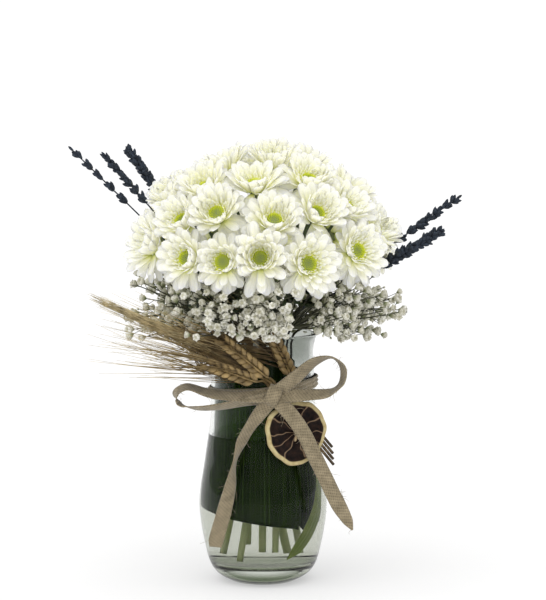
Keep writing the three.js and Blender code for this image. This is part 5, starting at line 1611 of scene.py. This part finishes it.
# %% Sprays of baby's breath
for number, azimuth in enumerate(GYP_AZIMUTHS, 1):
    fork = polar(azimuth, 50.0, 226.0)
    heights = (134, 196, 216)
    main = smooth_path([*(sheaf_point(azimuth, 0.93, z) for z in heights), fork], 30)
    stems_of_spray = [tubes(main[None], 1.0, 6)]
    twigs, heads, small = [], [], []
    wider = 14 * math.sin(math.radians(azimuth)) ** 2
    for _ in range(FORK_TRIES):
        end = polar(azimuth + gyp_random.uniform(-38, 38), gyp_random.uniform(76, 112) + wider,
                    gyp_random.uniform(212, 280 + wider))
        halfway = fork * 0.5 + end * 0.5 + [0, 0, gyp_random.uniform(-3, 6)]
        path = smooth_path([fork, halfway, end], 12)
        heading = unit(path[-1] - path[-3])
        crown = gyp_random.uniform(2.8, 4.1)
        if not (belongs(end, wider) and is_free(end, crown)):
            continue
        taken.append((end, crown))
        heads.append((end, heading, crown))
        path[-1] = end - heading * crown * 1.2
        stems_of_spray.append(tubes(path[None], np.linspace(0.75, 0.4, 12), 4))
        kept = 0
        for _ in range(TWIG_TRIES):
            share = gyp_random.uniform(0.35, 1.0)
            seat = path[int(share * 11)]
            spread = unit(gyp_random.normal(size=3) * [1, 1, 0.9])
            lie = unit(heading * 0.6 + spread)
            tip = seat + lie * gyp_random.uniform(8, 21)
            opened = gyp_random.uniform() < OPEN_SHARE
            radius = gyp_random.uniform(2.5, 3.8) if opened else BUD_RADIUS
            if belongs(tip, wider) and is_free(tip, radius):
                taken.append((tip, radius))
                kept += 1
                bow = (seat + tip) / 2 + spread * 1.2
                twigs.append(smooth_path([seat, bow, tip - lie * radius * 1.2], 5))
                (heads if opened else small).append((tip, lie, radius))
            if kept >= TWIGS_PER_FORK:
                break
    stems_of_spray.append(tubes(np.array(twigs), 0.32, 3))
    piece(f"gypsophila_{number}_stems", stems_of_spray, gyp_stem_finish.material,
          [f"gypsophila_{number}"])
    centres, lies, sizes = (np.array(v) for v in zip(*heads))
    parts = [ruffled_heads(centres, lies, sizes, gyp_random)]
    if small:
        centres, lies, sizes = (np.array(v) for v in zip(*small))
        tint = {"tint": np.full((len(sizes), 1, 1), 0.3)}
        seats = centres - lies * sizes[:, None]
        parts.append(buds(seats, lies, sizes * 2.2, sizes * 0.9, 5, tint))
    piece(f"gypsophila_{number}_heads", parts, gyp_cream.material,
          [f"gypsophila_{number}"])
print(len(taken), "heads and buds of baby's breath")

# %% [markdown]
# ## Floor and light
# A plain pale floor, lit a little from within like a light table, so that the shadow on it stays
# faint, and soft light from all round. One broad lamp stands high in front, a little to the left,
# so that the petals keep a little shade on their undersides. Seen in glass, the room is dimmer:
# in a studio, dark cloths beside a glass keep its reflections thin.

# %% Floor
floor_finish = Finish("pale_floor", 0.9)
floor_colour, _ = floor_finish.mottled(3.0, (0.47, 0.47, 0.47), (0.45, 0.45, 0.45))
floor_finish.colour(floor_colour)
floor_finish.set({"Emission Color": (1.0, 1.0, 1.0, 1.0), "Emission Strength": 0.45})
bpy.ops.mesh.primitive_plane_add(size=14, location=(0, 0, -0.0005))
floor = bpy.context.object
floor.name = "pale_floor"
floor.data.materials.append(floor_finish.material)

# %% Light
bpy.context.scene.view_settings.view_transform = "Standard"
world = bpy.data.worlds.new("soft_room")
world.use_nodes = True
room = world.node_tree
sky = room.nodes["Background"]
sky.inputs["Color"].default_value = (1.0, 1.0, 1.0, 1.0)
rays = room.nodes.new("ShaderNodeLightPath").outputs


def room_math(operation, *values):
    """One sum over numbers or sockets in the room's own node tree."""
    node = room.nodes.new("ShaderNodeMath")
    node.operation = operation
    for socket, value in zip(node.inputs, values):
        if isinstance(value, float):
            socket.default_value = value
        else:
            room.links.new(value, socket)
    return node.outputs[0]


# how bright the room is: seen straight, seen through glass, and seen mirrored in it
BACKDROP_GAIN, THROUGH_GAIN, MIRROR_LOSS = 0.05, 0.05, -0.62
sharp = room_math("SUBTRACT", 1.0, rays["Is Diffuse Ray"])
level = room_math("MULTIPLY_ADD", rays["Is Camera Ray"], BACKDROP_GAIN, 1.00)
through = room_math("MULTIPLY", rays["Is Transmission Ray"], sharp)
level = room_math("MULTIPLY_ADD", through, THROUGH_GAIN, level)
mirror = room_math("MULTIPLY", rays["Is Reflection Ray"], sharp)
level = room_math("MULTIPLY_ADD", mirror, MIRROR_LOSS, level)
room.links.new(level, sky.inputs["Strength"])
bpy.context.scene.world = world

sun_data = bpy.data.lights.new("high_window", "SUN")
sun_data.energy = 1.3
sun_data.angle = math.radians(70)
sun = bpy.data.objects.new("high_window", sun_data)
sun.location = (-0.4, -0.7, 1.6)
SUN_COMES_FROM = Vector((-0.3, -0.8, 1.7))
sun.rotation_euler = (Vector((0, 0, 0)) - SUN_COMES_FROM).to_track_quat("-Z", "Y").to_euler()
bpy.context.scene.collection.objects.link(sun)
